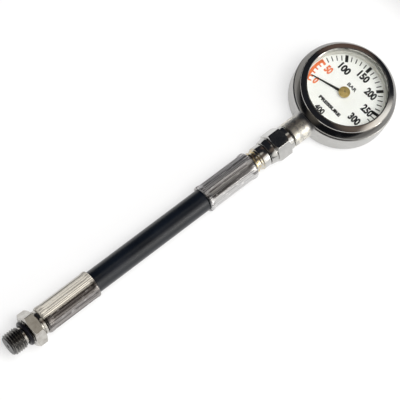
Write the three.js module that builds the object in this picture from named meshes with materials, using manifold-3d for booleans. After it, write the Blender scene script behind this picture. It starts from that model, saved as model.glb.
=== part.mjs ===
// A diver's high-pressure gauge on a short hose, in millimetres.
// The origin is the middle of the case's flat back, +Z is up through the dial,
// and the stem and the hose leave the case along -X.
import * as THREE from 'three';
import { mergeVertices } from 'three/addons/utils/BufferGeometryUtils.js';
import Module from 'manifold-3d';

const wasm = await Module();
wasm.setup();

// ---- driving dimensions ----

// Gaps: round a turned piece, between two flat faces, and round a small pin.
const FIT = 0.3;
const FACE_GAP = 0.1;
const PIN_FIT = 0.2;

// Gauge case, from the back up.
const CASE_RADIUS = 26;
const BACK_THICKNESS = 2.5;
const BACK_ROUNDING = 2.6;
const CASE_WALL = 4.8;
const SHELF_WIDTH = 0.7;
const SPIGOT_SETBACK = 2;
const SPIGOT_HEIGHT = 1.7;

// Window stack above the dial.
const DIAL_THICKNESS = 0.5;
const DIAL_SPACE = 2.7;
const LENS_THICKNESS = 4;
const LIP_THICKNESS = 1.3;
const LIP_OVERHANG = 1;
const BEZEL_SETBACK = 0.7;
const BEZEL_STEP = 1.9;
const LENS_EASE = 0.5;
const LENS_SEAL_CORD = 0.7;

// Stem and swivel.
const BOSS_RADIUS = 6.4;
const BOSS_LENGTH = 10.5;
const FLARE_LENGTH = 4.5;
const FLARE_RISE = 1.4;
const NUT_AF = 14;
const NUT_TURN = 6;
const NUT_HEX_LENGTH = 8.1;
const NUT_FRONT_COLLAR = 2.8;
const NUT_REAR_COLLAR = 4;
const NUT_SHANK_RADIUS = 4.6;
const NUT_SHANK_LENGTH = 5.8;
const NOSE_RADIUS = 3.9;
const SHOULDER_RADIUS = 6;
const SHOULDER_LENGTH = 4.1;
const NECK_RADIUS = 5.45;
const NECK_LENGTH = 4.2;
const SPOOL_RADIUS = 1.95;
const SPOOL_REACH = 6.8;
const SPOOL_SEAL_CORD = 0.5;

// Hose and its crimped ferrules.
const HOSE_RADIUS = 5.65;
const HOSE_SIDES = 12;
const HOSE_STEPS = 6;
const HOSE_ROUTE_X = [-63, -72, -81, -90, -99, -108, -117, -124.6, -132, -141, -150, -159, -168, -177, -186.2];
const FERRULE_SLEEVE = 1;
const FERRULE_LENGTH = 29.9;
const FERRULE_WALL = 1.6;
const HOSE_FREE = 67.9;
const BORE_RADIUS = 1.2;
const TAIL_RADIUS = 2.15;
const TAIL_LENGTH = 25;
const TAIL_BARB = 0.15;

// Port fitting.
const PORT_HEX_AF = 15.88;
const PORT_HEX_LENGTH = 5.4;
const PORT_NECK_RADIUS = 6.2;
const PORT_NECK_LENGTH = 2.2;
const SEAL_GROOVE_RADIUS = 4.2;
const SEAL_GROOVE_LENGTH = 3.6;
const SEAL_CORD = 0.915;
const SEAL_MIDDLE = 5.38;
const SEAL_RECESS = 0.25;
const THREAD_RADIUS = 5.555;
const THREAD_PITCH = 1.27;
const THREAD_TURNS = 6;
const THREAD_DEPTH = 0.65;
const ORIFICE_RADIUS = 0.3;

// Movement: plates, tube and gear train.
const PLATE_THICKNESS = 0.6;
const PLATE_GAP = 2.9;
const PLATE_MARGIN = 1.7;
const TONGUE_THICKNESS = 1.4;
const FLOOR_CLEARANCE = 0.3;
const DIAL_CLEARANCE = 1.4;
const TUBE_ROOM = 4.7;
const TUBE_WIDTH = 1.6;
const TUBE_HEIGHT = 5.2;
const TUBE_WALL = 0.35;
const TUBE_START = 168.5;
const TUBE_SWEEP = 262;
const GEAR_MODULE = 0.3;
const PINION_TEETH = 10;
const GEAR_RATIO = 6;
const SECTOR_TEETH = 12;
const FIRST_TOOTH = -9;
const TAIL_ARM = 3;
const TAIL_ANGLE = 155.7;
const LINK_LENGTH = 4.4;
const ARBOR_RADIUS = 0.5;
const SCREW_RADIUS = 0.45;
const HUB_RADIUS = 2.85;
const POINTER_CLEARANCE = 1.9;
// The dial's top is turned a little from +X, and its scale runs clockwise from zero.
const DIAL_TURN = 4.85;
const ZERO_ANGLE = 116;
const DEGREES_PER_BAR = 0.7725;
const REST_BAR = 11.3;

const RELIEF_RADIUS = 2.7;
const RELIEF_PLACE = [7, 8.5];

// Flat facets round the case, round the stem's pieces and round small pieces.
const CASE_FACETS = 32;
const STEM_FACETS = 20;
const SMALL_FACETS = 10;

// ---- places worked out from them ----

const INNER_RADIUS = CASE_RADIUS - CASE_WALL;
const WINDOW_BORE = INNER_RADIUS + SHELF_WIDTH;
const SPIGOT_RADIUS = CASE_RADIUS - SPIGOT_SETBACK;
const LENS_RADIUS = WINDOW_BORE - LENS_EASE;
const LIP_RADIUS = INNER_RADIUS - LIP_OVERHANG;
const BEZEL_RADIUS = CASE_RADIUS - BEZEL_SETBACK;
const STEP_RADIUS = BEZEL_RADIUS - BEZEL_STEP;
const TUBE_RADIUS = INNER_RADIUS - TUBE_ROOM;
const POINTER_LENGTH = LIP_RADIUS - POINTER_CLEARANCE;
const BOSS_END = CASE_RADIUS + BOSS_LENGTH;
const HOSE_BORE = TAIL_RADIUS + TAIL_BARB + FIT;
const FERRULE_RADIUS = HOSE_RADIUS + FIT + FERRULE_SLEEVE;
const FLOOR_GAP = 0.06;
const AXIS_HEIGHT = Math.max(PORT_HEX_AF / 2, FERRULE_RADIUS) + FLOOR_GAP;
const INLET_RADIUS = 1.5;
const TONGUE_TOP = BACK_THICKNESS + FLOOR_CLEARANCE + TONGUE_THICKNESS;
const LOWER_PLATE = TONGUE_TOP + PIN_FIT;
const GAP_BOTTOM = LOWER_PLATE + PLATE_THICKNESS;
const UPPER_PLATE = GAP_BOTTOM + PLATE_GAP;
const PLATES_TOP = UPPER_PLATE + PLATE_THICKNESS;
const DIAL_SHELF = Math.max(PLATES_TOP + DIAL_CLEARANCE, AXIS_HEIGHT + INLET_RADIUS + FIT + FACE_GAP);
const DIAL_BOTTOM = DIAL_SHELF + FACE_GAP;
const DIAL_TOP = DIAL_BOTTOM + DIAL_THICKNESS;
const RING_TOP = DIAL_TOP + FACE_GAP + DIAL_SPACE;
const LENS_BOTTOM = RING_TOP + FACE_GAP;
const LENS_TOP = LENS_BOTTOM + LENS_THICKNESS;
const PARTING = LENS_BOTTOM - 0.4;
const SPIGOT_TOP = PARTING + SPIGOT_HEIGHT;
const LIP_BOTTOM = LENS_TOP + FIT;
const LIP_TOP = LIP_BOTTOM + LIP_THICKNESS;

const NUT_FRONT = -BOSS_END - FIT;
const HEX_FRONT = NUT_FRONT - NUT_FRONT_COLLAR;
const HEX_REAR = HEX_FRONT - NUT_HEX_LENGTH;
const NUT_REAR = HEX_REAR - NUT_REAR_COLLAR;
const SHOULDER_FRONT = NUT_REAR - FIT;
const NECK_FRONT = SHOULDER_FRONT - SHOULDER_LENGTH;
const FERRULE_FRONT = NECK_FRONT - NECK_LENGTH - FIT;
const HOSE_MOUTH = FERRULE_FRONT - FERRULE_LENGTH;
const PORT_MOUTH = HOSE_MOUTH - HOSE_FREE;
const PORT_FERRULE_END = PORT_MOUTH - FERRULE_LENGTH;
const PORT_HEX_FRONT = PORT_FERRULE_END - FIT - PORT_NECK_LENGTH;
const PORT_HEX_REAR = PORT_HEX_FRONT - PORT_HEX_LENGTH;
const THREAD_ROOT = PORT_HEX_REAR - SEAL_GROOVE_LENGTH;
const PORT_TIP = THREAD_ROOT - THREAD_TURNS * THREAD_PITCH;
const NOSE_TIP = NUT_FRONT - 1;
const SPOOL_SEAT = -BOSS_END + NUT_SHANK_LENGTH + FIT;
const SPOOL_BORE = SPOOL_RADIUS + 0.35;

const PINION_PITCH = PINION_TEETH * GEAR_MODULE / 2;
const SECTOR_PITCH = PINION_PITCH * GEAR_RATIO;
const CENTRE_DISTANCE = PINION_PITCH + SECTOR_PITCH;
const SECTOR_LEVEL = GAP_BOTTOM + 0.6;
const SECTOR_THICKNESS = 0.8;
const LINK_LEVEL = SECTOR_LEVEL + SECTOR_THICKNESS + 0.3;
const LINK_THICKNESS = 0.4;
const PIN_RADIUS = 0.35;
const TUBE_LEVEL = LOWER_PLATE - 0.8;
const SPRING_LEVEL = UPPER_PLATE - 0.8;
const degrees = Math.PI / 180;
const SECTOR_PIVOT = [0, -CENTRE_DISTANCE];
const LINK_TAIL = [
  SECTOR_PIVOT[0] + TAIL_ARM * Math.cos(TAIL_ANGLE * degrees),
  SECTOR_PIVOT[1] + TAIL_ARM * Math.sin(TAIL_ANGLE * degrees),
];
const TIP_PIN = [LINK_TAIL[0] - 0.15, LINK_TAIL[1] - LINK_LENGTH];
const POINTER_ANGLE = DIAL_TURN + ZERO_ANGLE - REST_BAR * DEGREES_PER_BAR;
const PILLARS = [[5.2, -CENTRE_DISTANCE - 1.4], [4.4, 3.6], [-4.4, 3.6], [-6.4, -CENTRE_DISTANCE - 0.9]];
const BASE_SCREWS = [[-1.9, 2], [2.2, 1.9]];
const HAIRSPRING_STUD = [3, 1.75];

// ---- materials ----

const finish = (color, metalness, roughness) => new THREE.MeshStandardMaterial({ color, metalness, roughness });
const chrome = finish(0xd6d6d2, 1, 0.16);
const satinChrome = finish(0xb9b8b2, 1, 0.34);
const brass = finish(0xb8923f, 1, 0.3);
const bronze = finish(0xa5743a, 1, 0.36);
const steel = finish(0x9a9da1, 1, 0.3);
const rubber = finish(0x141518, 0, 0.6);
const white = finish(0xf2f1ea, 0, 0.5);
const greyPlastic = finish(0xc9c8be, 0, 0.45);
const blackPaint = finish(0x101010, 0, 0.4);
const glass = finish(0xeef4f4, 0, 0.05);
glass.transparent = true;
glass.opacity = 0.3;

// ---- making solids ----

// A closed three.js geometry as a solid, and a solid as a geometry.
function solid(geometry) {
  const bare = geometry.clone();
  bare.deleteAttribute('normal');
  bare.deleteAttribute('uv');
  const merged = mergeVertices(bare, 1e-3);
  const triVerts = new Uint32Array(merged.index.array);
  const vertProperties = merged.attributes.position.array;
  return new wasm.Manifold(new wasm.Mesh({ numProp: 3, vertProperties, triVerts }));
}

function geometryOf(body) {
  const mesh = body.getMesh();
  const geometry = new THREE.BufferGeometry();
  geometry.setAttribute('position', new THREE.BufferAttribute(new Float32Array(mesh.vertProperties), 3));
  geometry.setIndex(new THREE.BufferAttribute(new Uint32Array(mesh.triVerts), 1));
  geometry.computeVertexNormals();
  return geometry;
}

const cut = (from, ...tools) => geometryOf(tools.reduce((body, tool) => body.subtract(solid(tool)), solid(from)));
const join = (first, ...more) => geometryOf(more.reduce((body, piece) => body.add(solid(piece)), solid(first)));
const common = (first, second) => geometryOf(solid(first).intersect(solid(second)));

// A profile of [radius, height] points turned about Y, open at the axis or closed on itself.
function turned(profile, segments) {
  const points = profile.map(([radius, height]) => new THREE.Vector2(radius, height));
  const first = points[0];
  if (first.x > 0) points.push(first.clone());
  if (THREE.ShapeUtils.area(points) < 0) points.reverse();
  return new THREE.LatheGeometry(points, segments);
}

// The same about Z at a place on the dial plane, and about the stem's axis.
const turnedZ = (profile, segments, [x, y] = [0, 0]) =>
  turned(profile, segments).rotateX(Math.PI / 2).translate(x, y, 0);
const turnedX = (profile, segments) => turned(profile, segments).rotateZ(-Math.PI / 2).translate(0, 0, AXIS_HEIGHT);

const rod = (radius, from, to) => [[0, from], [radius, from], [radius, to], [0, to]];
const sleeve = (inner, outer, from, to) => [[inner, from], [outer, from], [outer, to], [inner, to]];

// Points on an arc in a profile, from one angle to another in degrees.
function arc(radius, [middleRadius, middleHeight], from, to, steps) {
  return Array.from({ length: steps + 1 }, (_, i) => {
    const angle = (from + (to - from) * i / steps) * degrees;
    return [middleRadius + radius * Math.cos(angle), middleHeight + radius * Math.sin(angle)];
  });
}

const ring = (cord, middle, height, segments) =>
  arc(cord, [middle, height], 0, 360 - 360 / segments, segments - 1);

// A flat shape with its thickness standing on a level.
const plate = (shape, level, thickness, curveSegments = 8) =>
  new THREE.ExtrudeGeometry(shape, { depth: thickness, bevelEnabled: false, curveSegments }).translate(0, 0, level);

const box = (from, to) => new THREE.BoxGeometry(...to.map((high, i) => high - from[i]))
  .translate(...to.map((high, i) => (high + from[i]) / 2));

// A hexagon across the stem's axis with chamfered corners, one flat turned from +Z towards +Y.
function hexagon(acrossFlats, from, to, turnDegrees, chamferRear, chamferFront) {
  const corner = acrossFlats / 2 / Math.cos(30 * degrees);
  const prism = new THREE.CylinderGeometry(corner, corner, to - from, 6)
    .rotateZ(-Math.PI / 2)
    .rotateX((30 - turnDegrees) * degrees)
    .translate((from + to) / 2, 0, AXIS_HEIGHT);
  const rim = acrossFlats / 2 - 0.1;
  const run = corner - rim;
  const lean = 0.6;
  const profile = [
    [0, from],
    [chamferRear ? rim : corner, from],
    [corner, from + (chamferRear ? run * lean : 0)],
    [corner, to - (chamferFront ? run * lean : 0)],
    [chamferFront ? rim : corner, to],
    [0, to],
  ];
  return common(prism, turnedX(profile, STEM_FACETS));
}

// A screw with a slotted head standing on a level, its shank pointing down.
function slottedScrew(place, level, shankLength) {
  const headRadius = 2.2 * SCREW_RADIUS;
  const headHeight = 0.65;
  const profile = [
    [0, level - shankLength],
    [SCREW_RADIUS, level - shankLength],
    [SCREW_RADIUS, level],
    [headRadius, level],
    [headRadius, level + headHeight],
    [0, level + headHeight],
  ];
  const [x, y] = place;
  const slotHalf = 0.15;
  const slot = box(
    [x - 2 * headRadius, y - slotHalf, level + headHeight / 2],
    [x + 2 * headRadius, y + slotHalf, level + 2 * headHeight],
  );
  return cut(turnedZ(profile, SMALL_FACETS, place), slot);
}

const gauge = new THREE.Group();

function add(name, geometry, material) {
  const mesh = new THREE.Mesh(geometry, material);
  mesh.name = name;
  gauge.add(mesh);
}

// ---- case: cup, stem boss and its bores ----

function caseBody() {
  const rimChamfer = 0.7;
  const cup = turnedZ([
    [0, 0],
    ...arc(BACK_ROUNDING, [CASE_RADIUS - BACK_ROUNDING, BACK_ROUNDING], -90, 0, 3),
    [CASE_RADIUS, PARTING - rimChamfer],
    [CASE_RADIUS - rimChamfer, PARTING],
    [SPIGOT_RADIUS, PARTING],
    [SPIGOT_RADIUS, SPIGOT_TOP],
    [WINDOW_BORE, SPIGOT_TOP],
    [WINDOW_BORE, DIAL_SHELF],
    [INNER_RADIUS, DIAL_SHELF],
    [INNER_RADIUS, BACK_THICKNESS],
    [0, BACK_THICKNESS],
  ], CASE_FACETS);
  const flareRadius = Math.min(BOSS_RADIUS + FLARE_RISE, AXIS_HEIGHT - 0.1);
  const flareStart = -CASE_RADIUS - FLARE_LENGTH;
  const rise = flareRadius - BOSS_RADIUS;
  const flare = [0, 0.35, 0.65, 0.85, 1].map((share) => [
    BOSS_RADIUS + rise * share ** 3,
    flareStart + FLARE_LENGTH * share,
  ]);
  const insideWall = -(WINDOW_BORE + SPIGOT_RADIUS) / 2 + 0.2;
  const boss = turnedX([
    [0, -BOSS_END],
    [BOSS_RADIUS - 0.5, -BOSS_END],
    [BOSS_RADIUS, -BOSS_END + 0.5],
    ...flare,
    [flareRadius, insideWall],
    [0, insideWall],
  ], STEM_FACETS);
  const bezelRoom = turnedZ(rod(BEZEL_RADIUS + FIT, PARTING, 4 * LIP_TOP), CASE_FACETS);
  const socketBore = turnedX([
    [0, -BOSS_END - 1],
    [NUT_SHANK_RADIUS + FIT, -BOSS_END - 1],
    [NUT_SHANK_RADIUS + FIT, SPOOL_SEAT],
    [SPOOL_BORE, SPOOL_SEAT],
    [SPOOL_BORE, -CASE_RADIUS - 0.8],
    [INLET_RADIUS + FIT, -CASE_RADIUS],
    [INLET_RADIUS + FIT, -INNER_RADIUS + 2],
    [0, -INNER_RADIUS + 2],
  ], STEM_FACETS);
  const reliefHole = turnedZ(rod(RELIEF_RADIUS + FIT, -1, BACK_THICKNESS + 1), 16, RELIEF_PLACE);
  return cut(join(cup, cut(boss, bezelRoom)), socketBore, reliefHole);
}

add('case', caseBody(), satinChrome);

add('relief_plug', turnedZ([
  [0, 0.3],
  [RELIEF_RADIUS, 0.3],
  [RELIEF_RADIUS, BACK_THICKNESS + FACE_GAP],
  [RELIEF_RADIUS + 1.3, BACK_THICKNESS + FACE_GAP],
  [RELIEF_RADIUS + 1.3, BACK_THICKNESS + 0.9],
  [0, BACK_THICKNESS + 0.9],
], 16, RELIEF_PLACE), rubber);

// ---- window: bezel, lens, seal, spacer ring and dial ----

const sealRoom = SPIGOT_TOP + FACE_GAP;
const sealTop = sealRoom + 2 * LENS_SEAL_CORD + FACE_GAP;
const sealMiddle = LENS_RADIUS + LENS_SEAL_CORD + FACE_GAP;

add('bezel_ring', turnedZ([
  [SPIGOT_RADIUS + FIT, PARTING + FACE_GAP],
  [BEZEL_RADIUS, PARTING + FACE_GAP],
  [BEZEL_RADIUS, SPIGOT_TOP - 0.2],
  [BEZEL_RADIUS - 0.35, SPIGOT_TOP + 0.9],
  [STEP_RADIUS + 0.9, LIP_BOTTOM - 0.9],
  [STEP_RADIUS, LIP_BOTTOM - 0.2],
  [STEP_RADIUS - 0.25, LIP_BOTTOM + 0.2],
  [LIP_RADIUS + 0.9, LIP_TOP],
  [LIP_RADIUS + 0.3, LIP_TOP],
  [LIP_RADIUS, LIP_TOP - 0.3],
  [LIP_RADIUS, LIP_BOTTOM],
  [LENS_RADIUS + FIT, LIP_BOTTOM],
  [LENS_RADIUS + FIT, sealTop],
  [sealMiddle + LENS_SEAL_CORD + FACE_GAP, sealTop],
  [sealMiddle + LENS_SEAL_CORD + FACE_GAP, SPIGOT_TOP + FACE_GAP],
  [SPIGOT_RADIUS + FIT, SPIGOT_TOP + FACE_GAP],
], CASE_FACETS), chrome);

add('lens', turnedZ(rod(LENS_RADIUS, LENS_BOTTOM, LENS_TOP), CASE_FACETS), glass);
add('lens_oring', turnedZ(ring(LENS_SEAL_CORD, sealMiddle, sealRoom + LENS_SEAL_CORD, 6), CASE_FACETS), rubber);
add('spacer_ring', turnedZ(
  sleeve(LIP_RADIUS + 0.4, WINDOW_BORE - FIT, DIAL_TOP + FACE_GAP, RING_TOP), CASE_FACETS), greyPlastic);
add('dial_plate', turnedZ(sleeve(1.2, WINDOW_BORE - FIT, DIAL_BOTTOM, DIAL_TOP), CASE_FACETS), white);

// ---- socket block, inlet and pressure tube ----

const tubeMiddleLevel = TUBE_LEVEL + TUBE_HEIGHT / 2;

function socketBlock() {
  const far = Math.sqrt(INNER_RADIUS ** 2 - 4.5 ** 2) - FIT;
  const near = TUBE_RADIUS - 3;
  const side = TUBE_RADIUS * Math.sin(TUBE_START * degrees) - FIT;
  const bottom = BACK_THICKNESS + FLOOR_CLEARANCE;
  const block = box([-far, -4.5, bottom], [-near, side, DIAL_SHELF - 0.4]);
  const tongue = box([-near - 1, -3.2, bottom], [4, 3.2, TONGUE_TOP]);
  const inlet = turnedX(rod(INLET_RADIUS, -CASE_RADIUS + 0.4, -far + 1), SMALL_FACETS);
  const bore = turnedX(rod(0.8, -CASE_RADIUS - 1, -TUBE_RADIUS), SMALL_FACETS);
  const outlet = new THREE.CylinderGeometry(0.8, 0.8, 2 * side, SMALL_FACETS)
    .translate(-TUBE_RADIUS + 0.5, side, Math.min(AXIS_HEIGHT - 0.4, tubeMiddleLevel + 1.4));
  const screwHoles = BASE_SCREWS.map((place) => turnedZ(rod(SCREW_RADIUS + PIN_FIT, 0, LOWER_PLATE), SMALL_FACETS, place));
  return cut(join(block, tongue, inlet), bore, outlet, ...screwHoles);
}

add('socket_block', socketBlock(), brass);
add('inlet_restrictor', turnedX(sleeve(0.2, 0.55, -CASE_RADIUS + 0.5, -CASE_RADIUS + 2.2), SMALL_FACETS), steel);

// The flat oval tube is a hollow ring with a wedge taken out between its two open ends.
function pressureTube() {
  const wall = TUBE_WALL;
  const half = TUBE_WIDTH / 2;
  const oval = (inset) => [
    ...arc(half - inset, [TUBE_RADIUS, TUBE_LEVEL + half], -180, 0, 2),
    ...arc(half - inset, [TUBE_RADIUS, TUBE_LEVEL + TUBE_HEIGHT - half], 0, 180, 2),
  ];
  const hollow = cut(turnedZ(oval(0), CASE_FACETS), turnedZ(oval(wall), CASE_FACETS));
  const reach = 2 * CASE_RADIUS;
  const gap = new THREE.Shape();
  gap.moveTo(0, 0);
  const gapSweep = 360 - TUBE_SWEEP;
  [0, 0.5, 1].forEach((share) => {
    const angle = (TUBE_START + gapSweep * share) * degrees;
    gap.lineTo(reach * Math.cos(angle), reach * Math.sin(angle));
  });
  return cut(hollow, plate(gap, 0, LIP_TOP));
}

add('bourdon_tube', pressureTube(), bronze);

// ---- plates, pillars and screws ----

// A plate with a rounded corner round each pillar and a hole at each place given.
function movementPlate(level, holes) {
  const middle = PILLARS.reduce(([x, y], p) => [x + p[0] / PILLARS.length, y + p[1] / PILLARS.length], [0, 0]);
  const angleOf = ([x, y]) => Math.atan2(y - middle[1], x - middle[0]);
  const corners = [...PILLARS].sort((a, b) => angleOf(a) - angleOf(b));
  const shape = new THREE.Shape();
  corners.forEach((corner, i) => {
    const before = corners[(i + corners.length - 1) % corners.length];
    const after = corners[(i + 1) % corners.length];
    const start = Math.atan2(corner[1] - before[1], corner[0] - before[0]) - Math.PI / 2;
    const end = Math.atan2(after[1] - corner[1], after[0] - corner[0]) - Math.PI / 2;
    shape.absarc(corner[0], corner[1], PLATE_MARGIN, start, end, false);
  });
  holes.forEach(([place, radius]) => {
    const hole = new THREE.Path();
    hole.absarc(place[0], place[1], radius, 0, 2 * Math.PI, true);
    shape.holes.push(hole);
  });
  return plate(shape, level, PLATE_THICKNESS, 4);
}

const screwHole = SCREW_RADIUS + PIN_FIT;
const arborHole = ARBOR_RADIUS + PIN_FIT;
const pivots = [[[0, 0], arborHole], [SECTOR_PIVOT, arborHole]];
const pillarHoles = PILLARS.map((place) => [place, screwHole]);
const baseHoles = BASE_SCREWS.map((place) => [place, screwHole]);
add('lower_plate', movementPlate(LOWER_PLATE, [...pivots, ...pillarHoles, ...baseHoles]), brass);
add('upper_plate', movementPlate(UPPER_PLATE, [...pivots, ...pillarHoles, [HAIRSPRING_STUD, screwHole]]), brass);

const seatGap = 0.05;
PILLARS.forEach((place, i) => {
  const from = GAP_BOTTOM + seatGap;
  const to = UPPER_PLATE - seatGap;
  add(`plate_pillar_${i + 1}`, turnedZ(sleeve(screwHole, 1.15, from, to), SMALL_FACETS, place), brass);
  add(`plate_screw_${i + 1}`, slottedScrew(place, PLATES_TOP + seatGap, PLATE_THICKNESS + 2), steel);
});
BASE_SCREWS.forEach((place, i) => {
  add(`base_screw_${i + 1}`, slottedScrew(place, GAP_BOTTOM + seatGap, PLATE_THICKNESS + 1.3), steel);
});

// ---- gear train ----

// A ring of straight-flanked teeth about a centre: their middles start at an angle in degrees.
function toothPoints(pitchRadius, teethInCircle, count, firstAngle) {
  const pitchAngle = 2 * Math.PI / teethInCircle;
  const tip = pitchRadius + 0.75 * GEAR_MODULE;
  const root = pitchRadius - 1.1 * GEAR_MODULE;
  const flank = [[-0.23, root], [-0.1, tip], [0.1, tip], [0.23, root]];
  return Array.from({ length: count }, (_, i) => flank.map(([share, radius]) => {
    const angle = firstAngle * degrees + (i + share) * pitchAngle;
    return new THREE.Vector2(radius * Math.cos(angle), radius * Math.sin(angle));
  })).flat();
}

const pinionTop = LINK_LEVEL;
const hubBottom = DIAL_TOP + 0.9;
const hubTop = DIAL_TOP + 2.2;

function pinionArbor() {
  const pinion = new THREE.Shape(toothPoints(PINION_PITCH, PINION_TEETH, PINION_TEETH, -90));
  const shaft = turnedZ([
    [0, LOWER_PLATE - 0.05],
    [ARBOR_RADIUS - 0.1, LOWER_PLATE - 0.05],
    [ARBOR_RADIUS - 0.1, GAP_BOTTOM + seatGap],
    [ARBOR_RADIUS, GAP_BOTTOM + 0.1],
    [ARBOR_RADIUS, hubTop + 0.15],
    [0, hubTop + 0.15],
  ], SMALL_FACETS);
  return join(shaft, plate(pinion, GAP_BOTTOM + 0.3, pinionTop - GAP_BOTTOM - 0.3));
}

add('pinion_arbor', pinionArbor(), steel);
add('hairspring_collet', turnedZ(
  sleeve(ARBOR_RADIUS + FIT, ARBOR_RADIUS + 0.65, SPRING_LEVEL, SPRING_LEVEL + 0.6), SMALL_FACETS), brass);

// A flat spiral strip from the collet out to the stud.
function hairspring() {
  const turns = 3.4;
  const inner = ARBOR_RADIUS + 0.85;
  const outer = Math.hypot(...HAIRSPRING_STUD) - 0.65;
  const endAngle = Math.atan2(HAIRSPRING_STUD[1], HAIRSPRING_STUD[0]);
  const strip = 0.12;
  const steps = 40;
  const edge = (offset) => Array.from({ length: steps + 1 }, (_, i) => {
    const radius = inner + (outer - inner) * i / steps + offset;
    const angle = endAngle - 2 * Math.PI * turns * (1 - i / steps);
    return new THREE.Vector2(radius * Math.cos(angle), radius * Math.sin(angle));
  });
  const shape = new THREE.Shape([...edge(strip), ...edge(0).reverse()]);
  return plate(shape, SPRING_LEVEL + 0.05, 0.45);
}

add('hairspring', hairspring(), bronze);
add('hairspring_stud', turnedZ(
  rod(SCREW_RADIUS, SPRING_LEVEL - 0.1, PLATES_TOP + 0.4), SMALL_FACETS, HAIRSPRING_STUD), steel);

// The toothed sector, its hub and its tail arm, as one flat piece.
function sectorGear() {
  const teeth = toothPoints(SECTOR_PITCH, PINION_TEETH * GEAR_RATIO, SECTOR_TEETH, 0);
  const toothAngle = 360 / (PINION_TEETH * GEAR_RATIO);
  const lastTooth = FIRST_TOOTH + toothAngle * (SECTOR_TEETH - 1);
  const wedge = new THREE.Shape([new THREE.Vector2(0, 0), ...teeth]);
  const windowInner = 3.2;
  const windowOuter = SECTOR_PITCH - 2;
  const spread = toothAngle * (SECTOR_TEETH - 1);
  const window = new THREE.Path();
  window.absarc(0, 0, windowOuter, spread * 0.2 * degrees, spread * 0.8 * degrees, false);
  window.absarc(0, 0, windowInner, spread * 0.7 * degrees, spread * 0.3 * degrees, true);
  wedge.holes.push(window);
  const level = SECTOR_LEVEL;
  const top = level + SECTOR_THICKNESS;
  const rim = plate(wedge, level, SECTOR_THICKNESS).rotateZ((90 - lastTooth) * degrees);
  const hub = turnedZ(rod(1.9, level, top), 16);
  const arm = box([0, -0.8, level], [TAIL_ARM, 0.8, top]).rotateZ(TAIL_ANGLE * degrees);
  const tailPlace = [LINK_TAIL[0] - SECTOR_PIVOT[0], LINK_TAIL[1] - SECTOR_PIVOT[1]];
  const eye = turnedZ(rod(1.15, level, top), SMALL_FACETS, tailPlace);
  const hubHole = turnedZ(rod(ARBOR_RADIUS + 0.35, 0, DIAL_SHELF), SMALL_FACETS);
  const eyeHole = turnedZ(rod(PIN_RADIUS + PIN_FIT, 0, DIAL_SHELF), SMALL_FACETS, tailPlace);
  return cut(join(rim, hub, arm, eye), hubHole, eyeHole).translate(SECTOR_PIVOT[0], SECTOR_PIVOT[1], 0);
}

add('sector_gear', sectorGear(), brass);
add('sector_arbor', turnedZ([
  [0, LOWER_PLATE + 0.1],
  [ARBOR_RADIUS - 0.1, LOWER_PLATE + 0.1],
  [ARBOR_RADIUS - 0.1, GAP_BOTTOM + 0.1],
  [ARBOR_RADIUS + 0.15, GAP_BOTTOM + 0.1],
  [ARBOR_RADIUS + 0.15, UPPER_PLATE - 0.1],
  [ARBOR_RADIUS - 0.1, UPPER_PLATE - 0.1],
  [ARBOR_RADIUS - 0.1, PLATES_TOP - 0.1],
  [0, PLATES_TOP - 0.1],
], SMALL_FACETS, SECTOR_PIVOT), steel);
add('link_tail_pin', turnedZ(
  rod(PIN_RADIUS, SECTOR_LEVEL, LINK_LEVEL + LINK_THICKNESS + 0.2), SMALL_FACETS, LINK_TAIL), steel);

// ---- link and the tube's tip ----

function linkBar() {
  const length = LINK_LENGTH;
  const bar = box([-0.45, -length, LINK_LEVEL], [0.45, 0, LINK_LEVEL + LINK_THICKNESS]);
  const levels = [LINK_LEVEL, LINK_LEVEL + LINK_THICKNESS];
  const tailEye = turnedZ(rod(0.9, ...levels), SMALL_FACETS);
  const tipEye = turnedZ(rod(1.25, ...levels), SMALL_FACETS, [0, -length]);
  const tailHole = turnedZ(rod(PIN_RADIUS + PIN_FIT, 0, DIAL_SHELF), SMALL_FACETS);
  const tipHole = turnedZ(rod(PIN_RADIUS + 0.5, 0, DIAL_SHELF), SMALL_FACETS, [0, -length]);
  return cut(join(bar, tailEye, tipEye), tailHole, tipHole).translate(LINK_TAIL[0], LINK_TAIL[1], 0);
}

add('link', linkBar(), steel);

// The cap soldered over the tube's end, with a tab that reaches over the link.
function tubeTip() {
  const endAngle = (TUBE_START - TUBE_SWEEP) * degrees;
  const endX = TUBE_RADIUS * Math.cos(endAngle);
  const capFrom = [endX - 3.1, -TUBE_RADIUS - 1, TUBE_LEVEL - 0.2];
  const capTo = [endX - 0.6, -TUBE_RADIUS + 1.3, TUBE_LEVEL + TUBE_HEIGHT + 0.2];
  const tabLevel = LINK_LEVEL + LINK_THICKNESS + 0.2;
  const tabRight = TIP_PIN[0] + 0.9;
  const tab = box([capFrom[0], capTo[1] - 1, tabLevel], [tabRight, TIP_PIN[1] + 0.8, tabLevel + 0.5]);
  const hole = turnedZ(rod(PIN_RADIUS + PIN_FIT, 0, DIAL_SHELF), SMALL_FACETS, TIP_PIN);
  return cut(join(box(capFrom, capTo), tab), hole);
}

add('tube_tip', tubeTip(), brass);
add('tip_pin', turnedZ(
  rod(PIN_RADIUS, LINK_LEVEL - 0.1, LINK_LEVEL + LINK_THICKNESS + 0.75), SMALL_FACETS, TIP_PIN), steel);

// ---- pointer ----

function pointerBlade() {
  const level = DIAL_TOP + 0.4;
  const thickness = 0.35;
  const shape = new THREE.Shape([
    new THREE.Vector2(0.8, -0.7),
    new THREE.Vector2(POINTER_LENGTH, -0.16),
    new THREE.Vector2(POINTER_LENGTH, 0.16),
    new THREE.Vector2(0.8, 0.7),
  ]);
  const blade = plate(shape, level, thickness);
  const disc = turnedZ(rod(HUB_RADIUS - 0.4, level, level + thickness), STEM_FACETS);
  const hole = turnedZ(rod(ARBOR_RADIUS + FIT, 0, LIP_TOP), SMALL_FACETS);
  return cut(join(blade, disc), hole).rotateZ(POINTER_ANGLE * degrees);
}

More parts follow.
